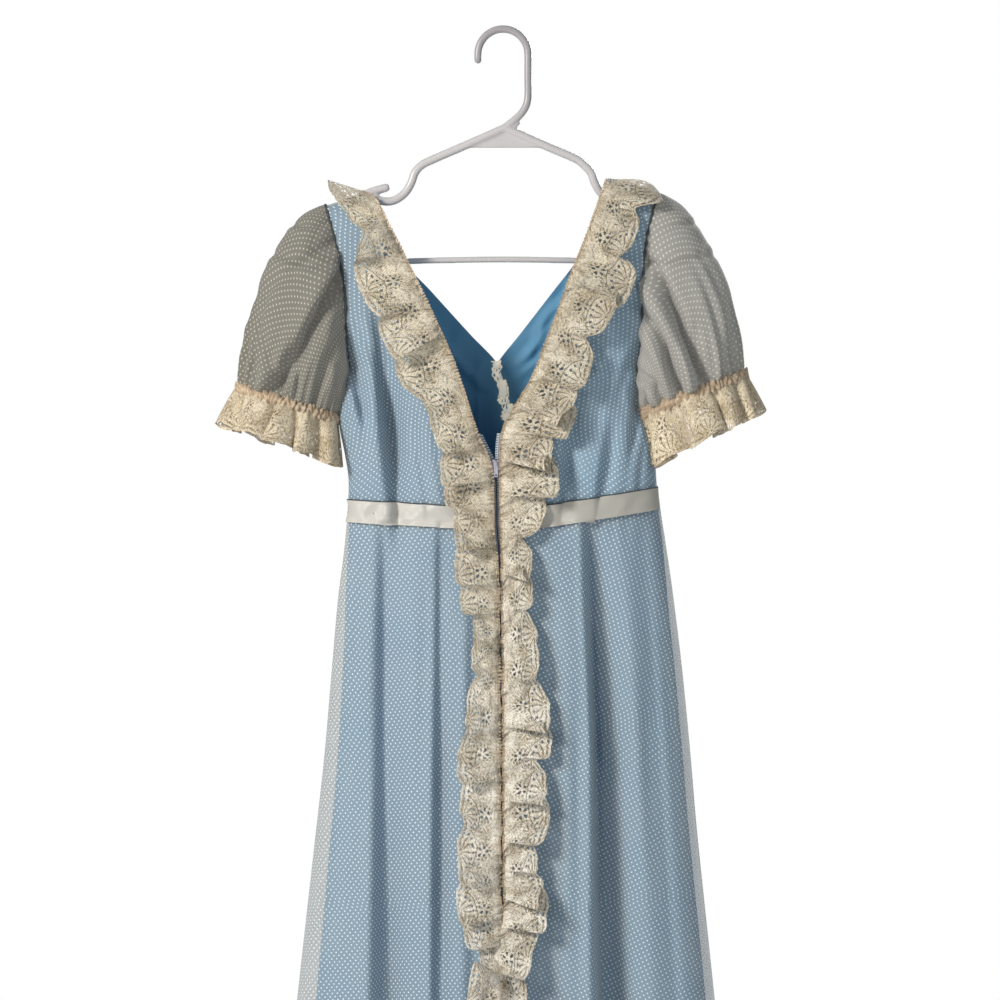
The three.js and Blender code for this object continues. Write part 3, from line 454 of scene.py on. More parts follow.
def normals(points, closed=False):
    """Outward directions of a grid of points, rows down and columns rightwards from outside."""
    if closed:
        across = np.roll(points, -1, 1) - np.roll(points, 1, 1)
    else:
        across = np.gradient(points, axis=1)
    return unit(np.cross(np.gradient(points, axis=0), across))


def lengths(points, axis):
    """Distance run along the rows or columns of points."""
    step = np.linalg.norm(np.diff(points, axis=axis), axis=-1)
    start = np.zeros_like(np.take(step, [0], axis))
    return np.concatenate([start, np.cumsum(step, axis)], axis)


def squares(values):
    """The values at the four corners of each square of a grid."""
    around = [values[:-1, :-1], values[1:, :-1], values[1:, 1:], values[:-1, 1:]]
    return np.stack(around, 2)


def add_object(name, data):
    made = bpy.data.objects.new(name, data)
    bpy.context.scene.collection.objects.link(made)
    return made


def new_mesh(name, verts, faces, *materials):
    mesh = bpy.data.meshes.new(name)
    mesh.from_pydata(verts, [], faces)
    for material in materials:
        mesh.materials.append(material)
    return mesh


def mesh_piece(name, points, material, uv=None, closed=False):
    """A cloth piece from a grid of points in millimetres, with its own map in metres."""
    if uv is None:
        uv = np.stack([lengths(points, 1), lengths(points, 0)], -1)
    index = np.arange(points[..., 0].size).reshape(points.shape[:2])
    if closed:
        index = np.concatenate([index, index[:, :1]], 1)
        seam = uv[:, -1:] + (uv[:, -1:] - uv[:, -2:-1])
        uv = np.concatenate([uv, seam], 1)
    faces = squares(index).reshape(-1, 4)
    mesh = new_mesh(name, (points.reshape(-1, 3) * MM).tolist(), faces.tolist(), material)
    layer = mesh.uv_layers.new(name="Cloth")
    layer.data.foreach_set("uv", (squares(uv).reshape(-1) * MM).tolist())
    mesh.polygons.foreach_set("use_smooth", [True] * len(faces))
    mesh.update()
    piece = add_object(name, mesh)
    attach(piece, "root")
    return piece


def declare(piece, slot, *nodes, **sheet):
    """Hides the nodes that a piece stands for; its slot and how its cloth lies are not used."""
    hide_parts(*nodes)


# Materials


class Value:
    """A shader value: + - * and / on it each add a maths node."""

    def __init__(self, nodes, socket):
        self.nodes, self.socket = nodes, socket

    def __add__(self, other):
        return self.nodes.math("ADD", self, other)

    def __sub__(self, other):
        return self.nodes.math("SUBTRACT", self, other)

    def __rsub__(self, other):
        return self.nodes.math("SUBTRACT", other, self)

    def __mul__(self, other):
        return self.nodes.math("MULTIPLY", self, other)

    def __truediv__(self, other):
        return self.nodes.math("DIVIDE", self, other)


class Nodes:
    """Short calls that add and link shader nodes."""

    def __init__(self, tree):
        self.tree = tree

    def put(self, socket, value):
        if isinstance(value, Value):
            self.tree.links.new(value.socket, socket)
        else:
            socket.default_value = value

    def set(self, node, values):
        for name, value in values.items():
            self.put(node.inputs[name], value)

    def node(self, kind, *values, **settings):
        """A node with its settings made and its first inputs filled."""
        made = self.tree.nodes.new(kind)
        for key, value in settings.items():
            setattr(made, key, value)
        for socket, value in zip(made.inputs, values):
            self.put(socket, value)
        return made

    def value(self, output, kind, *values, **settings):
        """One output of a new node."""
        return Value(self, self.node(kind, *values, **settings).outputs[output])

    def math(self, operation, *values):
        return self.value(0, "ShaderNodeMath", *values, operation=operation)

    def wave(self, operation, value, pitch):
        return self.math(operation, value * (2 * math.pi / pitch))

    def hypot(self, a, b):
        return self.math("SQRT", a * a + b * b)

    def most(self, first, *others):
        """The largest of several values."""
        for other in others:
            first = self.math("MAXIMUM", first, other)
        return first

    def step(self, value, low, high):
        smooth = {"interpolation_type": "SMOOTHSTEP"}
        return self.value(0, "ShaderNodeMapRange", value, low, high, **smooth)

    def blend(self, share, one, two):
        made = self.node("ShaderNodeMix", share, data_type="RGBA")
        self.put(made.inputs[6], one)
        self.put(made.inputs[7], two)
        return Value(self, made.outputs[2])

    def noise(self, vector, scale, detail=2.0):
        made = self.node("ShaderNodeTexNoise")
        self.set(made, {"Vector": vector, "Scale": scale, "Detail": detail})
        return Value(self, made.outputs[0])

    def place(self):
        """The place on the piece itself, in metres."""
        return self.value("Object", "ShaderNodeTexCoord")

    def map(self):
        """The piece's own map in metres, and its two parts."""
        place = self.value(0, "ShaderNodeUVMap", uv_map="Cloth")
        parts = self.node("ShaderNodeSeparateXYZ", place)
        return place, Value(self, parts.outputs[0]), Value(self, parts.outputs[1])

    def bump(self, shader, height, distance, strength=1.0):
        made = self.node("ShaderNodeBump")
        self.set(made, {"Distance": distance, "Strength": strength, "Height": height})
        self.put(shader.inputs["Normal"], Value(self, made.outputs[0]))


def new_material(name):
    material = bpy.data.materials.new(name)
    material.use_nodes = True
    material.node_tree.nodes.clear()
    n = Nodes(material.node_tree)
    output = n.node("ShaderNodeOutputMaterial")
    shader = n.node("ShaderNodeBsdfPrincipled")
    n.put(output.inputs[0], Value(n, shader.outputs[0]))
    return material, n, shader


def rgb(red, green, blue):
    """A colour given as it looks on screen, 0 to 255."""
    return (*((c / 255) ** 2.2 for c in (red, green, blue)), 1)


def threads(n, u, v, pitch):
    """A plain weave's height from the map."""
    return n.wave("SINE", u, pitch) * n.wave("SINE", v, pitch)


def dots(n, u, v, pitch, size):
    """Staggered woven dots, 1 inside and 0 outside."""
    edge = size / pitch / 2
    found = []
    for shift in (0.0, 0.5):
        du, dv = (n.math("FRACT", t / pitch + shift) - 0.5 for t in (u, v))
        found.append(1.0 - n.step(n.hypot(du, dv), edge * 0.75, edge * 1.2))
    return n.most(*found)


def sheer_material(name, ground, dot, cover, dot_cover):
    """Sheer organza with woven dots: the ground lets what is behind it show."""
    material, n, shader = new_material(name)
    place, u, v = n.map()
    spot = dots(n, u, v, DOT_PITCH * MM, DOT_SIZE * MM)
    cloudy = n.noise(place, 14.0, 3.0)
    darker = tuple(c * 0.86 for c in ground[:3]) + (1,)
    look = {
        "Base Color": n.blend(spot, n.blend(cloudy, darker, ground), dot),
        "Alpha": spot * (dot_cover - cover) + cover + (cloudy - 0.5) * 0.10,
        "Roughness": 0.75,
        "Sheen Weight": 0.25,
    }
    n.set(shader, look)
    n.bump(shader, spot + threads(n, u, v, 0.0006) * 0.25, 0.0003, 0.5)
    return material


def satin_material(name, colour, dark, roughness, slub=0.35, sheen=0.3):
    """Smooth cloth with a soft sheen, fine threads and slight shading in its colour."""
    material, n, shader = new_material(name)
    place, u, v = n.map()
    look = {
        "Base Color": n.blend(n.noise(place, 9.0, 4.0), dark, colour),
        "Roughness": n.noise(place, 60.0) * 0.12 + (roughness - 0.06),
        "Sheen Weight": sheen,
        "Sheen Roughness": 0.4,
    }
    n.set(shader, look)
    height = threads(n, u, v, 0.0005) * 0.5 + n.noise(place, 220.0) * slub
    n.bump(shader, height, 0.0003, 0.35)
    return material


def lace_material(name, thread, shade, kind="lace", lighter_further_along=None):
    """Cotton lace: flowers of oval eyelets, ladders of slits for leaves, fans, a corded edge."""
    material, n, shader = new_material(name)
    place, u, v = n.map()
    # The thread turns lighter further along the map, from 0.35 m to 0.95 m.
    if lighter_further_along:
        thread = n.blend(n.step(u, 0.35, 0.95), thread, lighter_further_along)
    grain = n.noise(place, 420.0, 3.0)
    u = u + (n.noise(place, 60.0, 1.0) - 0.5) * 0.007
    aside = n.value(0, "ShaderNodeVectorMath", place, (3.1, 1.7, 0.0), operation="ADD")
    v = v + (n.noise(aside, 50.0, 1.0) - 0.5) * 0.006
    n.set(shader, {"Roughness": 0.9, "Sheen Weight": 0.15})
    tone = n.step(grain * 0.7 + n.noise(place, 45.0) * 0.5, 0.35, 0.8)
    if kind == "heading":
        ribs = n.wave("SINE", u, 0.0021)
        # Between the ribs the colour falls to the shade colour: painted shade in the hollows of
        # the gathers.
        lit = tone * n.step(ribs, -1.0, -0.2)
        n.set(shader, {"Base Color": n.blend(lit, shade, thread)})
        n.bump(shader, ribs + grain, 0.0006, 0.6)
        return material
    motif = LACE_MOTIF * MM
    x = (n.math("FRACT", u / motif) - 0.5) * motif
    mirrored = n.math("ABSOLUTE", x)

    def inside(value, half):
        return 1.0 - n.step(n.math("ABSOLUTE", value), half * 0.7, half * 1.15)

    def polar(x0, v0):
        dx, dv = x - x0, v0 - v
        return n.math("ARCTAN2", dx, dv), n.hypot(dx, dv)

    def ring(centre, count, radius, half, share):
        angle, reach = centre
        spokes = n.step(n.math("COSINE", angle * float(count)), share, share + 0.3)
        return spokes * inside(reach - radius, half)

    def ladder(x0, v0, slope, pitch, half_long, half_wide):
        """Short slits side by side, in a leaf's outline."""
        dx, dv = mirrored - x0, v - v0
        cos, sin = math.cos(slope), math.sin(slope)
        along = dx * cos + dv * sin
        side = dv * cos - dx * sin
        slit = n.step(n.wave("COSINE", along, pitch), 0.35, 0.7)
        width = (1.0 - along * along / (half_long * half_long)) * half_wide
        return slit * n.step(width - n.math("ABSOLUTE", side), 0.0, 0.0006)

    flower, fan, star = polar(0.0, 0.019), polar(0.0, 0.047), polar(motif * 0.5 - 0.001, 0.030)
    holes = n.most(
        ring(flower, 5, 0.0047, 0.0020, -0.1),
        ring(fan, 17, 0.0165, 0.0012, 0.15),
        ladder(0.0115, 0.026, 0.9, 0.0021, 0.0075, 0.0021),
        ladder(0.0150, 0.0115, -0.5, 0.0019, 0.0055, 0.0016),
        ladder(0.0145, 0.0385, 0.35, 0.0020, 0.0050, 0.0015),
        ladder(0.0060, 0.0335, -0.7, 0.0018, 0.0042, 0.0014),
    )
    holes = holes * n.step(n.noise(place, 90.0, 1.0), 0.28, 0.38)
    edge_wave = n.step(n.wave("COSINE", u, 0.0042), 0.1, 0.5)
    lines = n.most(
        ring(fan, 13, 0.0095, 0.0052, 0.55),
        ring(flower, 12, 0.0085, 0.0012, 0.2),
        inside(fan[1] - 0.0205, 0.0005),
        edge_wave * inside(v - 0.0462, 0.0010),
        ring(star, 9, 0.005, 0.003, 0.4),
    )
    pores = n.step(threads(n, u, v, 0.0027), 0.3, 0.8)
    # Lines and pores of the net are drawn darker: partly the lace's own pattern, partly painted
    # shade in its openings.
    dark = lines * 0.6 + pores * 0.5
    look = {
        "Base Color": n.blend(tone - dark * 0.8, shade, thread),
        "Alpha": 1.0 - n.most(holes * 0.92, lines * 0.30 + pores * 0.12),
    }
    # The strip glows a little: painted light.
    if kind == "strip":
        look |= {"Emission Color": rgb(255, 243, 218), "Emission Strength": 0.32}
    n.set(shader, look)
    n.bump(shader, inside(v - 0.0488, 0.0009) + grain * 0.8 - dark, 0.0007, 0.7)
    return material


def plastic_material():
    material, n, shader = new_material("moulded_plastic")
    place = n.place()
    height = n.value(2, "ShaderNodeSeparateXYZ", place)
    arms = n.blend(n.noise(place, 6.0), rgb(184, 180, 179), rgb(200, 196, 195))
    look = {
        "Base Color": n.blend(n.step(height, -0.10, -0.06), arms, rgb(160, 156, 157)),
        "Roughness": n.noise(place, 30.0, 3.0) * 0.16 + 0.26,
        "Subsurface Weight": 0.15,
        "Subsurface Radius": (0.004, 0.004, 0.004),
    }
    n.set(shader, look)
    n.bump(shader, n.noise(place, 60.0), 0.0003, 0.08)
    return material


def enamel_material():
    material, n, shader = new_material("pale_enamel")
    worn = n.noise(n.place(), 900.0, 4.0)
    tone = n.blend(worn, rgb(158, 154, 172), rgb(206, 203, 214))
    n.set(shader, {"Base Color": tone, "Roughness": worn * 0.2 + 0.28, "Metallic": 0.45})
    n.bump(shader, worn, 0.0001, 0.4)
    return material


SKIRT_SHEER = sheer_material("dotted_sheer", rgb(164, 169, 167), rgb(228, 235, 236), 0.50, 0.86)
# The left sleeve's sheer is a darker copy of the right's, ground and dots alike: painted shade on
# the left sleeve.
SLEEVE_SHEER_SHADED_LEFT = {
    half: sheer_material(f"sleeve_sheer_{half}", rgb(*ground), rgb(*dot), 0.80, 0.94)
    for half, ground, dot in (
        ("left", (124, 120, 108), (188, 185, 171)),
        ("right", (160, 157, 149), (208, 206, 198)),
    )
}
# The seams' dark grey cloth is painted shade: it stands for the shadow at the armholes and above
# the ribbon.
SEAM_PAINTED_SHADE = satin_material("seam_painted_shade", rgb(74, 80, 82), rgb(52, 58, 62), 0.85)
LINING = satin_material("blue_lining", rgb(106, 175, 215), rgb(92, 161, 206), 0.42)
# A lighter copy of the blue lining for the front right bodice: painted light where the lamps leave
# it dim.
LINING_RIGHT_PAINTED_LIGHT = satin_material("blue_lining_right_painted_light", rgb(117, 192, 235), rgb(102, 178, 224), 0.42)
# A darker copy of the blue lining for the back bodice, seen inside the neck's point: painted
# shade.
LINING_BACK_PAINTED_SHADE = satin_material("blue_lining_back_painted_shade", rgb(90, 147, 180), rgb(78, 134, 167), 0.5)
RIBBON = satin_material("ivory_satin", rgb(204, 201, 194), rgb(186, 182, 173), 0.22, 0.5, 0.15)
RIBBON_SHADED = satin_material(
    "ivory_satin_shaded", rgb(182, 179, 170), rgb(164, 160, 150), 0.22, 0.5, 0.15
)
TAPE = satin_material("zip_tape", rgb(218, 225, 234), rgb(198, 207, 220), 0.7)
TEETH = satin_material("white_teeth", rgb(244, 245, 248), rgb(226, 229, 236), 0.35)
# Near-black teeth below the slider, where the open ones are white: painted shade in the closed
# zip's gap.
COIL_PAINTED_SHADE = satin_material("zip_coil_painted_shade", rgb(15, 19, 36), rgb(10, 13, 26), 0.6)
LACE = lace_material("cream_lace", rgb(230, 220, 199), rgb(140, 124, 96), lighter_further_along=rgb(246, 240, 227))
# The narrow strip's lace is brighter and glows a little: painted light, for the strip that lies in
# shade inside the neck.
LACE_STRIP_PAINTED_LIGHT = lace_material("narrow_lace_painted_light", rgb(255, 251, 242), rgb(236, 226, 204), "strip")
HEADING = lace_material("gathered_heading", rgb(242, 230, 206), rgb(168, 142, 108), "heading")
CUFF_HEADING = lace_material("cuff_heading", rgb(252, 234, 206), rgb(170, 138, 102), "heading")
CUFF_LACE = lace_material("cuff_lace", rgb(238, 224, 196), rgb(154, 134, 102))
PLASTIC = plastic_material()
ENAMEL = enamel_material()


# Bodice and skirt


def bodice_points(face, half, out=0.0, rows=110, columns=72):
    """One quarter of the bodice, from the shoulder to the waist seam."""
    neck = NECK[face, half]
    down, across = grid(rows, columns)
    starts_at_side = (face == "front") == (half == "left")
    inward = (across if starts_at_side else 1 - across) ** 1.5
    fall = down**1.5
    waist_out = curve(WAIST[face], "x", side_edge(half, UNDERARM - 140), "z")
    waist_in = curve(WAIST[face], "x", neck["x"][-1], "z")
    z_out = mix(ARMHOLES[half]["z"][0], waist_out + 0.2, fall)
    z_in = mix(neck["z"][0], waist_in + 0.2, fall)
    x_in = curve(neck, "z", z_in, "x")
    if face == "back":
        centre = CENTRE_BACK - WAY[half] * 0.3
        x_in = np.minimum(x_in, centre) if half == "left" else np.maximum(x_in, centre)
    x = mix(side_edge(half, z_out), x_in, inward)
    level = mix(z_out, z_in, inward)
    z = level + (shoulder_height(x[:1]) - level[:1]) * (1 - np.minimum(1, down * 3))
    points = np.stack([x, cloth_y(face, x, z, fine=1.0), z], -1)
    return on_own_side(points + normals(points) * [0.15 * out, out, out], face)


def skirt_points(face, half, lining, rows=118, columns=72):
    """A skirt panel: a front half between its side seam and the zip, or the whole back."""
    hem = LINING_HEM if lining else HEM
    down, across = grid(rows, columns)
    level = mix(SKIRT_TOP, hem, down)
    inset = NO_INSET
    if lining:
        inset = {side: curve(LINING_INSET, "z", level, side) for side in NO_INSET}
    t = across if face == "front" else 1 - across
    left = curve(BODY, "z", level, "left") + inset["left"]
    right = curve(BODY, "z", level, "right") - inset["right"]
    if half == "left":
        right = front_edge("left", level)
        spaced = t**1.35
    elif half == "right":
        left = front_edge("right", level)
        spaced = 1 - (1 - t) ** 1.35
    else:
        spaced = mix(t, 0.5 - 0.5 * np.cos(np.pi * t), 0.55)
    x = mix(left, right, spaced)
    top = curve(WAIST[face], "x", x, "z") - 0.2
    z = mix(top, hem, (level - SKIRT_TOP) / (hem - SKIRT_TOP))
    sway = 0.0 if lining else 1.2 * np.sin(x / 23 + 1.3) * ease((-700 - z) / 600)
    y = cloth_y(face, x, z, inset, fine=0.75 if lining else 1.0)
    return np.stack([x, y, z + sway], -1)


def from_centre(points, centre_at_end, turn=0.0):
    """A map whose threads run down from the waist at a slant, measured from the centre line."""
    across = lengths(points, 1)
    if centre_at_end:
        across = across - across[:, -1:]
    down = -points[..., 2]
    cos, sin = math.cos(turn), math.sin(turn)
    return np.stack([across * cos - down * sin, across * sin + down * cos], -1)


def make_bodice():
    # The right front takes the lighter lining, painted light.
    fronts = {"left": LINING, "right": LINING_RIGHT_PAINTED_LIGHT}
    for face, area in (("front", 0.036), ("back", 0.039)):
        sheet = {"flat": (0.19, 0.34), "held": "hung", "rests_on": ["moulded_hanger"]}
        for half in HALVES:
            points = bodice_points(face, half)
            uv = from_centre(points, (face == "front") == (half == "left"), -0.3 * WAY[half])
            outer = mesh_piece(f"bodice_overlay_{face}_{half}", points, SKIRT_SHEER, uv)
            declare(outer, "overlay", f"bodice_{face}_{half}", area=area, **sheet)
            inner_points = bodice_points(face, half, out=-LINING_IN)
            # The back takes the darker lining, painted shade.
            cloth = LINING_BACK_PAINTED_SHADE if face == "back" else fronts[half]
            inner = mesh_piece(f"bodice_lining_cloth_{face}_{half}", inner_points, cloth, uv)
            declare(inner, "lining", f"bodice_lining_{face}_{half}", area=area, **sheet)


def make_skirt():
    panels = (
        ("front", "left", "front_left", 100, 0.12, 0.34, 0.25),
        ("front", "right", "front_right", 110, -0.3, 0.34, 0.25),
        ("back", "whole", "back", 150, 0.0, 0.64, 0.51),
    )
    for face, half, where, columns, turn, wide, area in panels:
        sheet = {"flat": (wide, 1.05), "held": "hung", "rests_on": ["moulded_hanger"]}
        for lining in (False, True):
            points = skirt_points(face, half, lining, columns=columns)
            uv = from_centre(points, half == "left", turn)
            if half == "whole":
                middle = columns // 2
                uv[..., 0] -= uv[:, middle : middle + 1, 0]
            if lining:
                piece = mesh_piece(f"skirt_lining_cloth_{where}", points, LINING, uv)
                declare(piece, "lining", f"skirt_lining_{where}", area=area * 0.9, **sheet)
            else:
                piece = mesh_piece(f"skirt_overlay_{where}", points, SKIRT_SHEER, uv)
                declare(piece, "overlay", f"skirt_{where}", area=area, **sheet)


# Sleeves and cuffs


def sleeve_ring(half, line, part):
    """Points around a sleeve, from its outer line over the front to the under line and back."""
    angle = part * 2 * np.pi
    top = (1 + np.cos(angle)) / 2
    x = mix(line["inX"], line["outX"], top)
    z = mix(line["inZ"], line["outZ"], top)
    turn = np.sin(angle) * -WAY[half]
    y = np.where(turn > 0, -line["front"] * turn, -line["back"] * turn)
    return np.stack(np.broadcast_arrays(x, y, z), -1)


def sleeve_line(half, at):
    names = SLEEVE_COLUMNS.split()[1:]
    return {name: curve(SLEEVES[half], "at", at, name) for name in names}


def armhole_points(half, part):
    """The armhole edge of the bodice, met by the top of the sleeve."""
    angle = part * 2 * np.pi
    top = (1 + np.cos(angle)) / 2
    z = mix(UNDERARM, ARMHOLES[half]["z"][0], top)
    x = side_edge(half, z)
    level = np.minimum(z, shoulder_height(x))
    front = np.sin(angle) * -WAY[half] > 0
    y = np.where(front, cloth_y("front", x, level), cloth_y("back", x, level))
    y = np.where((top < 1e-6) | (top > 1 - 1e-6), 0, y)
    return np.stack([x + WAY[half] * 0.3, y, z], -1)


def sleeve_points(half, rows=110, columns=280):
    at, part = ring_grid(0, 1, rows, columns)
    points = sleeve_ring(half, sleeve_line(half, at), part)
    share = ((1 - at) ** 3)[..., None]
    points = mix(points, armhole_points(half, part), share)
    out = normals(points, closed=True)
    run = lengths(points, 0).mean(1, keepdims=True)
    uv = np.stack(np.broadcast_arrays(part * SLEEVE_AROUND, 1.2 * run), -1)
    angle = part * 2 * np.pi
    seed = 0.7 if half == "left" else 2.9
    wander = 0.9 * np.sin(3 * angle + seed) + 0.5 * np.sin(7 * angle + 2 * seed)
    gather = np.cos(30 * angle + 2.6 * wander + 1.6 * at)
    broad = np.cos(13 * angle + 2.2 * wander + seed)
    low = 1.5 * gather * ease((at - 0.62) / 0.38) + 2.4 * broad * ease((at - 0.4) / 0.5)
    head = 0.9 * np.cos(34 * angle + 2 * wander) * ease((0.26 - at) / 0.24) * ease(at / 0.04)
    sag = 1.8 * np.sin(2.4 * np.pi * at + 1.7 * np.sin(2 * angle + seed)) * np.sin(np.pi * at)
    press = crease_depth(SLEEVE_CREASES[half], points[..., 0], points[..., 2])
    on_front = ease(0.5 - out[..., 1] * 1.4)
    swell = low + head + sag - press * mix(0.45, 1.0, on_front)
    swell = swell * ease(at / 0.05) * ease((1.02 - at) / 0.05)
    return points + out * swell[..., None], uv


def cuff_ring(half, at, part, lap=0.0):
    """Points around a cuff, and their directions away from its middle."""
    start, free = sleeve_line(half, 1.0), CUFFS[half]
    lines = {name: mix(start[name], free[name], at) for name in free}
    points = sleeve_ring(half, lines, part - lap)
    zero = np.zeros(points.shape[:2])
    middle = mix(sleeve_ring(half, lines, zero), sleeve_ring(half, lines, zero + 0.5), 0.5)
    return points, unit(points - middle)


def cuff_points(half, rows=18, columns=FLUTES * 36):
    """The gathered lace of a cuff: flutes that lap over one another a little."""
    at, part = ring_grid(0, 1, rows, columns)
    seed = 1.1 if half == "left" else 2.3
    phase = (part * FLUTES + 0.22 * np.sin(part * 6 * np.pi + seed)) * 2 * np.pi
    uneven = 1 + 0.3 * np.sin(part * 10 * np.pi + seed)
    free = at**0.7
    lap = FLUTE_LAP * uneven * np.sin(phase) * free / CUFF_AROUND
    points, outward = cuff_ring(half, at, part, lap)
    small = 0.8 * np.cos(phase * 5 + 2 * np.sin(phase)) * np.exp(-at * 3.5)
    turn = np.sin(phase - 0.5) + 0.15 * np.sin(2 * phase)
    out = 0.8 + small + free * FLUTE_SWING * uneven * turn
    lobes = (1.2 * np.abs(np.sin(phase * 2)) - 0.6) * at**6
    lobes += 2.4 * np.cos(phase - 0.4) * uneven * free
    return points + outward * out[..., None] - [0, 0, 1.0] * lobes[..., None]


def cuff_map(points, ratio=1.35):
    """A map of the lace laid flat: its length around and its depth from the heading."""
    rows, columns = points.shape[:2]
    around = lengths(np.concatenate([points, points[:, :1]], 1), 1)
    total = round(around[-1, -1] * ratio / LACE_MOTIF) * LACE_MOTIF
    depth, part = ring_grid(0, LACE_DEPTH, rows, columns)
    return np.stack([part * total, depth], -1)


def cuff_heading_points(half, rows=9, columns=520):
    """The ruched band where the cuff lace is gathered onto the sleeve."""
    along, part = ring_grid(-0.06, 0.15, rows, columns)
    points, outward = cuff_ring(half, along, part)
    angle = part * 2 * np.pi
    wander = 2.2 * np.sin(5 * angle) + 1.3 * np.sin(13 * angle + 1) + 0.9 * np.sin(29 * angle)
    ruche = np.cos(62 * angle + wander + 16 * along)
    second = np.cos(37 * angle - wander - 25 * along)
    crown = 1 - ((along - 0.045) / 0.105) ** 2
    out = 1.6 + 1.7 * crown + (1.3 * ruche + 0.8 * second) * mix(1.2, 0.7, crown)
    wobble = (1.1 * ruche + 0.6 * second) * np.sign(along - 0.045) * (1 - 0.8 * crown)
    return points + outward * out[..., None] - [0, 0, 1.0] * wobble[..., None]


def armhole_shade_seam_points(half, around=9, columns=420):
    """The narrow seam that joins a sleeve to the bodice, drawn up into small gathers; its dark
    grey is painted shade.
    """
    part = np.arange(columns) / columns
    line = armhole_points(half, part)
    tangent = unit(np.roll(line, -1, 0) - np.roll(line, 1, 0))
    side = np.array([float(WAY[half]), 0.0, 0.0])
    side = unit(side - tangent * np.sum(side * tangent, 1)[:, None])
    out = np.cross(tangent, side)
    angle = np.linspace(0, 2 * np.pi, around + 1)[:, None]
    gather = 1 + 0.35 * np.sin(part * 74 * np.pi + 2 * np.sin(part * 22 * np.pi))
    size = 1.3 * gather[None, :]
    ring = side * (np.cos(angle) * size)[..., None] + out * (np.sin(angle) * size)[..., None]
    return line + side * 0.2 + ring


def make_sleeves():
    for half in HALVES:
        points, uv = sleeve_points(half)
        # The left sleeve takes the darker copy of the sheer, painted shade.
        sheer, seam_shade_line = SLEEVE_SHEER_SHADED_LEFT[half], armhole_shade_seam_points(half)
        sleeve = mesh_piece(f"puff_sleeve_{half}", points, sheer, uv, closed=True)
        seam = mesh_piece(f"armhole_shade_seam_{half}", seam_shade_line, SEAM_PAINTED_SHADE, closed=True)
        sheet = {"flat": (0.42, 0.19), "held": "gathered", "rests_on": ["moulded_hanger"]}
        with_shade_seam = {"area": 0.060, "with_pieces": [seam]}
        declare(sleeve, "sheer_sleeve", f"sleeve_{half}", **sheet, **with_shade_seam)
        lace, ruched = cuff_points(half), cuff_heading_points(half)
        cuff = mesh_piece(f"cuff_{half}", lace, CUFF_LACE, cuff_map(lace), closed=True)
        heading = mesh_piece(f"cuff_heading_{half}", ruched, CUFF_HEADING, closed=True)
        sheet = {"flat": (0.48, 0.045), "held": "gathered", "rests_on": [sleeve.name]}
        declare(cuff, "lace", f"cuff_lace_{half}", with_pieces=[heading], **sheet)


# Ruffles


def heading_x(half, z):
    edge = NECK["front", half]
    join = ease((edge["z"][-1] + 20 - z) / 40)
    return mix(curve(edge, "z", z, "x"), front_edge(half, z), join)


def lace_edge(half, z):
    """The gathered edge of the lace, which nearly meets the other over the closed zip."""
    way = WAY[half]
    closed = ease((-500 - z) / 45) * ease((z - ZIP_END + 14) / 20)
    wavy = 0.5 * np.sin(z / 6.1 + way) + 0.4 * np.sin(z / 2.7)
    below = ease((ZIP_END - 18 - z) / 50)
    twist = 8 * np.sin((z - ZIP_END) / 31) + 4 * np.sin((z - ZIP_END) / 13.7)
    return heading_x(half, z) - way * (closed * (1.9 + wavy) + below * 5) + below * twist


def front_ruffle_points(half, rows_per_wave=40, columns=17):
    """A front ruffle from the shoulder to the hem, with folds that lap like shingles."""
    way = WAY[half]
    waves = RUFFLE_WAVES["front"]
    along, across = grid(waves * rows_per_wave + 1, columns)
    q = 1 - across if half == "left" else across
    seed = 0.4 if half == "left" else 2.1
    turns = along * waves + 0.45 * np.sin(21 * along + seed) + 0.17 * np.sin(57 * along + seed)
    begun = ease(along / 0.045)
    turns = turns - (0.55 * begun if half == "left" else 0.42 * (1 - begun))
    phase = turns * 2 * np.pi
    straight = mix(NECK["front", half]["z"][0], RUFFLE_HEM, along)
    uneven = 1 + 0.42 * np.sin(phase / 2.7 + seed) + 0.30 * np.sin(phase / 1.6 + 2 * seed)
    over = curve(SWINGS[half], "z", straight, "over") * uneven
    swing = curve(SWINGS[half], "z", straight, "out") * uneven
    ends = ease(along * waves * 1.6) * ease((1 - along) * waves * 1.6)
    z = straight - over * np.sin(phase) * q**0.65 * ends
    x0 = lace_edge(half, z)
    width = curve(RUFFLES[half], "z", straight, "width")
    drop = curve(RUFFLES[half], "z", straight, "drop")
    tucked = 0.5 - 0.5 * np.cos(phase)
    scallop = 1.1 * np.abs(np.sin(phase * 2)) - 0.5
    bulge = 1 + 0.05 * np.sin(phase / 3.4 + 2 * seed) + 0.04 * np.sin(phase / 1.9)
    notch = 6 if half == "left" else 9
    reach = (width + notch / 2 - 1) * bulge - notch * tucked * ends
    x = x0 + way * (reach * q + scallop * q**8)
    height = z - drop * q - q * 2 * np.cos(phase)
    upright = ease((shoulder_height(x0) - z) / 26)
    under = cloth_y("front", x, np.minimum(height, shoulder_height(x) - 0.5))
    fold = 1 + np.sin(phase - 0.5) + 0.2 * np.sin(2 * phase + seed)
    gathers = np.cos(phase * 5 + 2 * np.sin(phase)) * np.exp(-q * 3.5) * 1.1
    gathers += 0.6 * np.cos(phase * 11 + 3 * np.sin(phase)) * np.exp(-q * 8)
    crush = 0.9 * np.sin(phase * 2.3 + 9 * q + seed) * np.sin(np.pi * q)
    lift = HEADING_OUT + 0.4 + gathers + crush + q**0.5 * (1.5 + swing * fold)
    start = cloth_y("front", x0, z)
    y = mix(start, np.minimum(start, under), upright * q) - lift * upright
    raised = (1 - upright) * (1.5 if half == "left" else 5 * q - 1 - 15 * q**6)
    return on_own_side(np.stack([x, y, height + raised], -1), "front", 0.4)


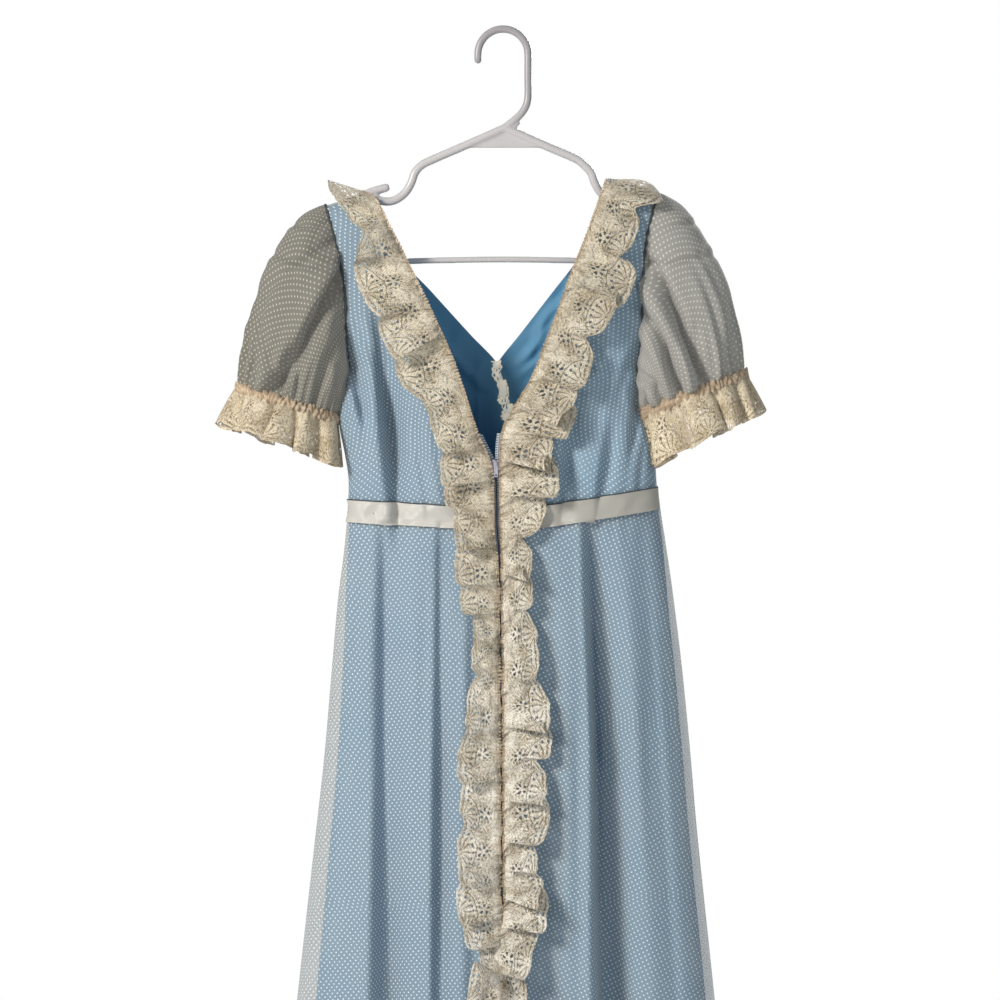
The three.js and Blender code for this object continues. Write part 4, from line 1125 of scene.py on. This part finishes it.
def back_ruffle_points(half, rows_per_wave=40, columns=15):
    way = WAY[half]
    edge = NECK["back", half]
    waves = RUFFLE_WAVES["back"]
    along, across = grid(waves * rows_per_wave + 1, columns)
    q = across if half == "left" else 1 - across
    seed = 2 + way
    uneven = 0.28 * np.sin(5.3 * along * np.pi + seed) + 0.16 * np.sin(13 * along + seed)
    phase = (along * waves + uneven) * 2 * np.pi
    ends = ease(along * 30) * ease((1 - along) * 30)
    z = mix(edge["z"][0], BACK_RUFFLE_END, along) - 4 * np.sin(2 * phase) * q**0.8 * ends
    x0 = curve(edge, "z", z, "x") + way * 5
    spread = mix(0.1, 0.8, ease(along * 1.6))
    narrowed = (1 - 0.55 * spread * along) * mix(0.62, 1, ease(along / 0.15))
    x = x0 + way * BACK_RUFFLE_WIDTH * q * narrowed
    height = z - BACK_RUFFLE_WIDTH * q * spread
    upright = ease((shoulder_height(x0) - z) / 26)
    under = cloth_y("back", x, np.minimum(height, shoulder_height(x) - 0.5))
    wave = np.cos(phase) * (1.3 - 0.3 * np.cos(phase) ** 2)
    lift = HEADING_OUT + q**0.75 * (3 + 5 * (1 + wave))
    start = cloth_y("back", x0, z)
    y = mix(start, np.maximum(start, under), upright * q) + lift * upright
    raised = (1 - upright) * (-3 - 9 * q**4)
    return on_own_side(np.stack([x, y, height + raised], -1), "back", 0.4)


def ruffle_map(points, heading_at_start):
    """A map of a ruffle laid flat: length along its middle, and depth from the heading."""
    columns = points.shape[1]
    run = lengths(points, 0)[:, columns // 2]
    depth = np.linspace(0, LACE_DEPTH, columns)
    if not heading_at_start:
        depth = depth[::-1]
    return np.stack(np.broadcast_arrays(run[:, None], depth[None, :]), -1)


def add_heading(name, points, column, towards, width=5.4, columns=6):
    """The tiny ruched frill that edges a ruffle on its inner line."""
    centre = points[:, column]
    outward = (centre - points[:, towards]) * [1, 0, 1] + 1e-6
    run = lengths(centre, 0)
    at = np.linspace(0, run[-1], int(run[-1] / HEADING_PITCH * 10))
    line = np.stack([np.interp(at, run, centre[:, k]) for k in range(3)], -1)
    side = unit(np.stack([np.interp(at, run, outward[:, k]) for k in range(3)], -1))
    face = np.cross(unit(np.gradient(line, axis=0)), side)
    across = np.linspace(-0.5, 0.5, columns)
    wander = 2.4 * np.sin(at / 23.0) + 1.6 * np.sin(at / 8.3 + 1) + 0.8 * np.sin(at / 3.9)
    swell = 0.85 + 0.45 * np.sin(at / 13.0 + 2)
    wave = (np.sin(at / HEADING_PITCH * 2 * np.pi + wander) * swell)[:, None]
    edge = (np.abs(across) * 2) ** 2
    spread = across * width + 0.5 * wave * np.sign(across) * edge
    lift = wave * (0.35 + 0.95 * edge)
    frill = line[:, None] + side[:, None] * spread[..., None] + face[:, None] * lift[..., None]
    piece = mesh_piece(name, frill, HEADING)
    return piece


def make_ruffles():
    for half in HALVES:
        kinds = (
            ("front", front_ruffle_points(half), 2.0, ("neck_ruffle_front", "skirt_ruffle")),
            ("back", back_ruffle_points(half), 0.38, ("neck_ruffle_back",)),
        )
        for face, points, long, nodes in kinds:
            at_start = (face == "front") == (half == "right")
            lace_map = ruffle_map(points, at_start)
            piece = mesh_piece(f"{face}_lace_{half}", points, LACE, lace_map)
            inner = (0, 2) if at_start else (-1, -3)
            heading = add_heading(f"{face}_heading_{half}", points, *inner)
            rests = [f"bodice_overlay_{face}_{half}"]
            if face == "front":
                rests.append(f"skirt_overlay_front_{half}")
            sheet = {"flat": (0.047, long), "held": "gathered", "rests_on": rests}
            names = [f"{node}_{half}" for node in nodes]
            declare(piece, "lace", *names, with_pieces=[heading], **sheet)


def make_strip():
    """The gathered lace strip that shows inside the point of the back neck."""
    along, across = grid(320, 11)
    z = mix(STRIP["top"], STRIP["low"], along)
    phase = along * STRIP["waves"] * 2 * np.pi + 1.9 * np.sin(along * 9) + 0.8 * np.sin(along * 23)
    wide = STRIP["width"] * (0.85 + 0.5 * along) + 1.2 * np.sin(phase * 2.1 + 5 * across)
    x = STRIP["x"] + wide * (across - 0.5) + 1.6 * np.sin(phase * 0.5) + 18 * along
    y = cloth_y("back", x, z) - 5.4 - 2.2 * np.cos(phase + 2 * across) * (across + 0.3)
    points = np.stack([x, y, z + 2.2 * np.sin(phase) * across], -1)
    uv = np.stack([lengths(points, 0), 11 + 1.4 * lengths(points, 1)], -1)
    piece = mesh_piece("inside_strip", points, LACE_STRIP_PAINTED_LIGHT, uv)
    sheet = {"flat": (0.012, 0.1), "rests_on": ["bodice_lining_cloth_back_left"]}
    declare(piece, "lace", "neck_strip_inside", held="gathered", **sheet)


# Ribbon and zip


def ribbon_points(face, left, right, columns):
    down, across = grid(17, columns)
    t = across if face == "front" else 1 - across
    level = curve(WAIST[face], "x", mix(*WAIST_ENDS, t), "z") + RIBBON_WIDTH * (0.5 - down)
    start = curve(BODY, "z", level, "left") + 1.6 if left is None else left
    end = curve(BODY, "z", level, "right") - 1.6 if right is None else right
    spaced = mix(t, 0.5 - 0.5 * np.cos(np.pi * t), 0.8)
    if left is not None:
        spaced = 1 - (1 - t) ** 1.4
    if right is not None:
        spaced = t**1.4
    x = mix(start, end, spaced)
    z = curve(WAIST[face], "x", x, "z") + RIBBON_WIDTH * (0.5 - down)
    points = np.stack([x, cloth_y(face, x, z), z], -1)
    out = normals(points)
    near_ruffle = 0.3 + 0.8 * (bell(x - 45, 22) + (x < -40) * (face == "front"))
    wave = np.sin((x + 14 * down) / 6.2 + 2.4 * np.sin(x / 19))
    ripple = 1.5 * wave * np.sin(np.pi * down) * near_ruffle
    buckle = 0.9 * bell(down - 0.5, 0.3) * np.cos(x / 13 + 1) * near_ruffle
    buckle += 0.5 * np.sin((x - 22 * down) / 3.6) * near_ruffle
    edge_curl = 0.5 * (2 * np.abs(down - 0.5)) ** 3
    points = points + out * (RIBBON_OUT + ripple + 0.5 * buckle + edge_curl)[..., None]
    return on_own_side(points, face)


def waist_shade_seam_points(face, ribbon):
    """The seam above the ribbon, as a thin dark cord of cloth; its dark grey is painted shade
    along the ribbon's top edge.
    """
    edge = ribbon[0] + [0, 0, 0.7]
    way = -1 if face == "front" else 1
    angle = np.linspace(0, 2 * np.pi, 7)
    ring = np.stack([0 * angle, -way * 0.8 + 0.7 * np.cos(angle), 0.7 * np.sin(angle)], -1)
    return edge[None] + ring[:, None]


def make_ribbon():
    spans = (
        ("front_left", "front", None, -14, 200, 0.163, RIBBON),
        ("front_right", "front", 2, None, 200, 0.175, RIBBON_SHADED),
        ("back", "back", None, None, 300, 0.345, RIBBON),
    )
    for where, face, left, right, columns, long, satin in spans:
        points = ribbon_points(face, left, right, columns)
        piece = mesh_piece(f"satin_ribbon_{where}", points, satin)
        seam = mesh_piece(f"waist_shade_seam_{where}", waist_shade_seam_points(face, points), SEAM_PAINTED_SHADE)
        sheet = {"flat": (0.022, long), "held": "laid", "rests_on": ["bodice_overlay_back_left"]}
        declare(piece, "ribbon", f"ribbon_{where}", with_pieces=[seam], **sheet)


def tape_points(half):
    down, across = grid(160, 7)
    z = mix(ZIP_TOP, ZIP_END, down)
    x0 = heading_x(half, z)
    inner = -ZIP_HALF_GAP + 0.4
    reach = mix(6, inner, across) if half == "left" else mix(inner, 6, across)
    return np.stack([x0 + WAY[half] * reach, cloth_y("front", x0, z) + TAPE_IN, z], -1)


def make_teeth(half):
    """The zip's teeth along one tape: short rounded bars, a pair to each pitch when closed; the
    closed ones are near black, as painted shade.
    """
    levels = np.arange(ZIP_TOP - 2, ZIP_END + 4, -TEETH_PITCH)
    levels = levels + (0 if half == "left" else TEETH_PITCH / 2)
    verts, faces = [], []
    x0 = heading_x(half, levels)
    closed = levels < SLIDER_AT - 8
    depths = cloth_y("front", x0, levels) + TAPE_IN - 1.0 + 1.6 * closed
    middle = x0 - WAY[half] * np.where(closed, ZIP_HALF_GAP - 1.6, ZIP_HALF_GAP + 0.1)
    widths = np.where(closed, 1.4 if half == "right" else 0.6, 1.0)
    outline = ((-1.4, 0.8), (1.4, 0.8), (1.4, -0.2), (1.0, -0.6), (-1.0, -0.6), (-1.4, -0.2))
    for z, x, y, wide in zip(levels, middle, depths, widths):
        start = len(verts)
        for dx, dy in outline:
            for dz in (0.55, -0.55):
                verts.append(((x + dx * wide) * MM, (y + dy) * MM, (z + dz) * MM))
        ring = [start + 2 * k for k in range(6)]
        faces.append(ring[::-1])
        faces.append([r + 1 for r in ring])
        for k in range(6):
            a, b = ring[k], ring[(k + 1) % 6]
            faces.append([a, b, b + 1, a + 1])
    mesh = new_mesh(f"zip_teeth_{half}", verts, faces, TEETH, COIL_PAINTED_SHADE)
    # Closed teeth take the near-black material, painted shade.
    painted_shade_index = np.repeat(closed.astype(int), len(faces) // len(levels))
    mesh.polygons.foreach_set("material_index", painted_shade_index)
    piece = add_object(mesh.name, mesh)
    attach(piece, "root")
    return piece


def make_zip():
    for half in HALVES:
        tape = mesh_piece(f"zip_tape_cloth_{half}", tape_points(half), TAPE)
        thickness = tape.modifiers.new("Thickness", "SOLIDIFY")
        thickness.thickness = TAPE_THICK * MM
        teeth = make_teeth(half)
        rests = [f"bodice_lining_cloth_front_{half}"]
        sheet = {"flat": (0.0112, 0.462), "held": "stretched", "rests_on": rests}
        declare(tape, "tape", f"zip_tape_{half}", with_pieces=[teeth], **sheet)
    for node in ("zip_slider", "zip_pull"):
        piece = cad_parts[node]
        piece.data.materials.clear()
        piece.data.materials.append(ENAMEL)


# Hanger


def smooth_line(points, steps=60):
    """Points evenly spaced along a smooth curve through the given ones."""
    points = np.array(points, float)
    run = lengths(points, 0)
    lines = {"run": run, "x": points[:, 0], "z": points[:, 1]}
    at = np.linspace(0, run[-1], steps)
    return np.stack([curve(lines, "run", at, "x"), curve(lines, "run", at, "z")], -1)


def tube_mesh(verts, faces, line, radius, sides=20):
    """Adds a round-ended tube along a line in the hanger's plane."""
    tangent = np.gradient(line, axis=0)
    tangent /= np.linalg.norm(tangent, axis=1, keepdims=True)
    caps = [math.cos(a) for a in np.linspace(0.15, math.pi / 2, 5)[:-1]]
    caps = [(back, math.sin(math.acos(back))) for back in caps]
    rings = []
    for back, share in caps:
        rings.append((line[0] - tangent[0] * radius * back, tangent[0], radius * share))
    rings += [(p, t, radius) for p, t in zip(line, tangent)]
    for back, share in reversed(caps):
        rings.append((line[-1] + tangent[-1] * radius * back, tangent[-1], radius * share))
    start = len(verts)
    for (x, z), way, size in rings:
        for k in range(sides):
            angle = 2 * math.pi * k / sides
            off = size * math.cos(angle)
            place = (x - way[1] * off, size * math.sin(angle), z + way[0] * off)
            verts.append([part * MM for part in place])
    for i in range(len(rings) - 1):
        for k in range(sides):
            a = start + i * sides + k
            b = start + i * sides + (k + 1) % sides
            faces.append([a, b, b + sides, a + sides])
    faces.append([start + k for k in range(sides)][::-1])
    last = start + (len(rings) - 1) * sides
    faces.append([last + k for k in range(sides)])


def make_hanger():
    """The moulded hanger: tubes fused into one skin, with a thin web under the neck."""
    verts, faces = [], []
    middle = HOOK_TUBE - HOOK_RADIUS
    turn = np.linspace(math.pi, 0, 24)
    crown = np.stack([HOOK_RADIUS * np.cos(turn), middle + HOOK_RADIUS * np.sin(turn)], -1)
    stem = [(25, -45), (25, -64), (23, -73), (17.5, -81.5), (9, -89), (2, -94.5)]
    hook = np.concatenate([[(-25, -27)], crown, stem])
    tube_mesh(verts, faces, smooth_line(hook, 120), HOOK_TUBE)
    arm, shoulder, bar = (np.stack([t["x"], t["z"]], -1) for t in (ARM, SHOULDER_ARM, BAR))
    for way in (1, -1):
        line = arm * [way, 1]
        line[0] = (2, -95)
        if way < 0:
            line[1:3, 0] += 4
        tube_mesh(verts, faces, smooth_line(line), ARM_TUBE)
        tube_mesh(verts, faces, smooth_line(shoulder * [way, 1]), ARM_TUBE)
    bar = np.concatenate([shoulder[-1:], bar, shoulder[-1:] * [-1, 1]])
    tube_mesh(verts, faces, smooth_line(bar), BAR_TUBE)
    start, count = len(verts), len(HANGER_WEB)
    for y in (-1.5, 1.5):
        verts += [(x * MM, y * MM, z * MM) for x, z in HANGER_WEB]
    faces.append([start + k for k in range(count)])
    faces.append([start + count + k for k in range(count)][::-1])
    for k in range(count):
        a, b = start + k, start + (k + 1) % count
        faces.append([b, a, a + count, b + count])
    mesh = new_mesh("moulded_hanger", verts, faces, PLASTIC)
    piece = add_object(mesh.name, mesh)
    fuse = piece.modifiers.new("Fuse", "REMESH")
    fuse.mode = "VOXEL"
    fuse.voxel_size = 0.75 * MM
    fuse.use_smooth_shade = True
    soften = piece.modifiers.new("Soften", "SMOOTH")
    soften.iterations = 40
    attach(piece, "root")
    declare(piece, "plastic", "hanger")


# Stage, light and camera


def make_stage():
    size, z = 2.6, (HEM - 30) * MM
    corners = [(-size, -size, z), (size, -size, z), (size, size, z), (-size, size, z)]
    material, n, shader = new_material("pale_floor")
    tone = n.blend(n.noise(n.place(), 3.0), rgb(226, 226, 226), rgb(232, 232, 232))
    n.set(shader, {"Base Color": tone, "Roughness": 0.9})
    add_object("floor", new_mesh("floor", corners, [(0, 1, 2, 3)], material))


def make_light():
    scene = bpy.context.scene
    scene.view_settings.view_transform = "Standard"
    scene.world = bpy.data.worlds.new("studio")
    scene.world.use_nodes = True
    scene.world.node_tree.nodes.clear()
    n = Nodes(scene.world.node_tree)
    seen = n.value(0, "ShaderNodeBackground", (1, 1, 1, 1))
    ambient = n.value(0, "ShaderNodeBackground", (0.93, 0.95, 1.0, 1), 0.28)
    seen_by_camera = n.value("Is Camera Ray", "ShaderNodeLightPath")
    chosen = n.value(0, "ShaderNodeMixShader", seen_by_camera, ambient, seen)
    n.node("ShaderNodeOutputWorld", chosen)
    lamps = (
        ("key", (-2.4, -2.5, 0.8), (0.0, 0.0, -0.6), 0.7, 122.0, (1.0, 0.98, 0.95)),
        ("fill", (2.1, -2.5, 0.7), (0.0, 0.0, -0.35), 1.4, 14.0, (0.82, 0.95, 1.0)),
        ("low", (-0.8, -2.6, -1.4), (0.0, 0.0, -1.0), 1.4, 8.0, (1.0, 1.0, 1.0)),
        ("behind", (1.2, 2.6, 0.8), (0.0, 0.0, -0.7), 1.4, 70.0, (1.0, 1.0, 1.0)),
    )
    for name, place, target, size, power, colour in lamps:
        lamp = bpy.data.lights.new(name, "AREA")
        lamp.energy = power
        lamp.size = size
        lamp.color = colour
        holder = add_object(name, lamp)
        holder.location = place
        aim = Vector(target) - Vector(place)
        holder.rotation_euler = aim.to_track_quat("-Z", "Y").to_euler()


def make_camera():
    """The photograph's view: level with the middle of what it shows, and a metre across."""
    distance, field = 4.0, 1.0
    camera = bpy.data.cameras.new("camera")
    camera.sensor_width = 36.0
    camera.lens = camera.sensor_width * distance / field
    holder = add_object("camera", camera)
    holder.location = (-0.003, -distance, -0.467)
    holder.rotation_euler = (math.pi / 2, 0, 0)
    bpy.context.scene.camera = holder


make_camera()
make_light()
make_stage()
make_hanger()
make_bodice()
make_skirt()
make_sleeves()
make_ruffles()
make_strip()
make_ribbon()
make_zip()
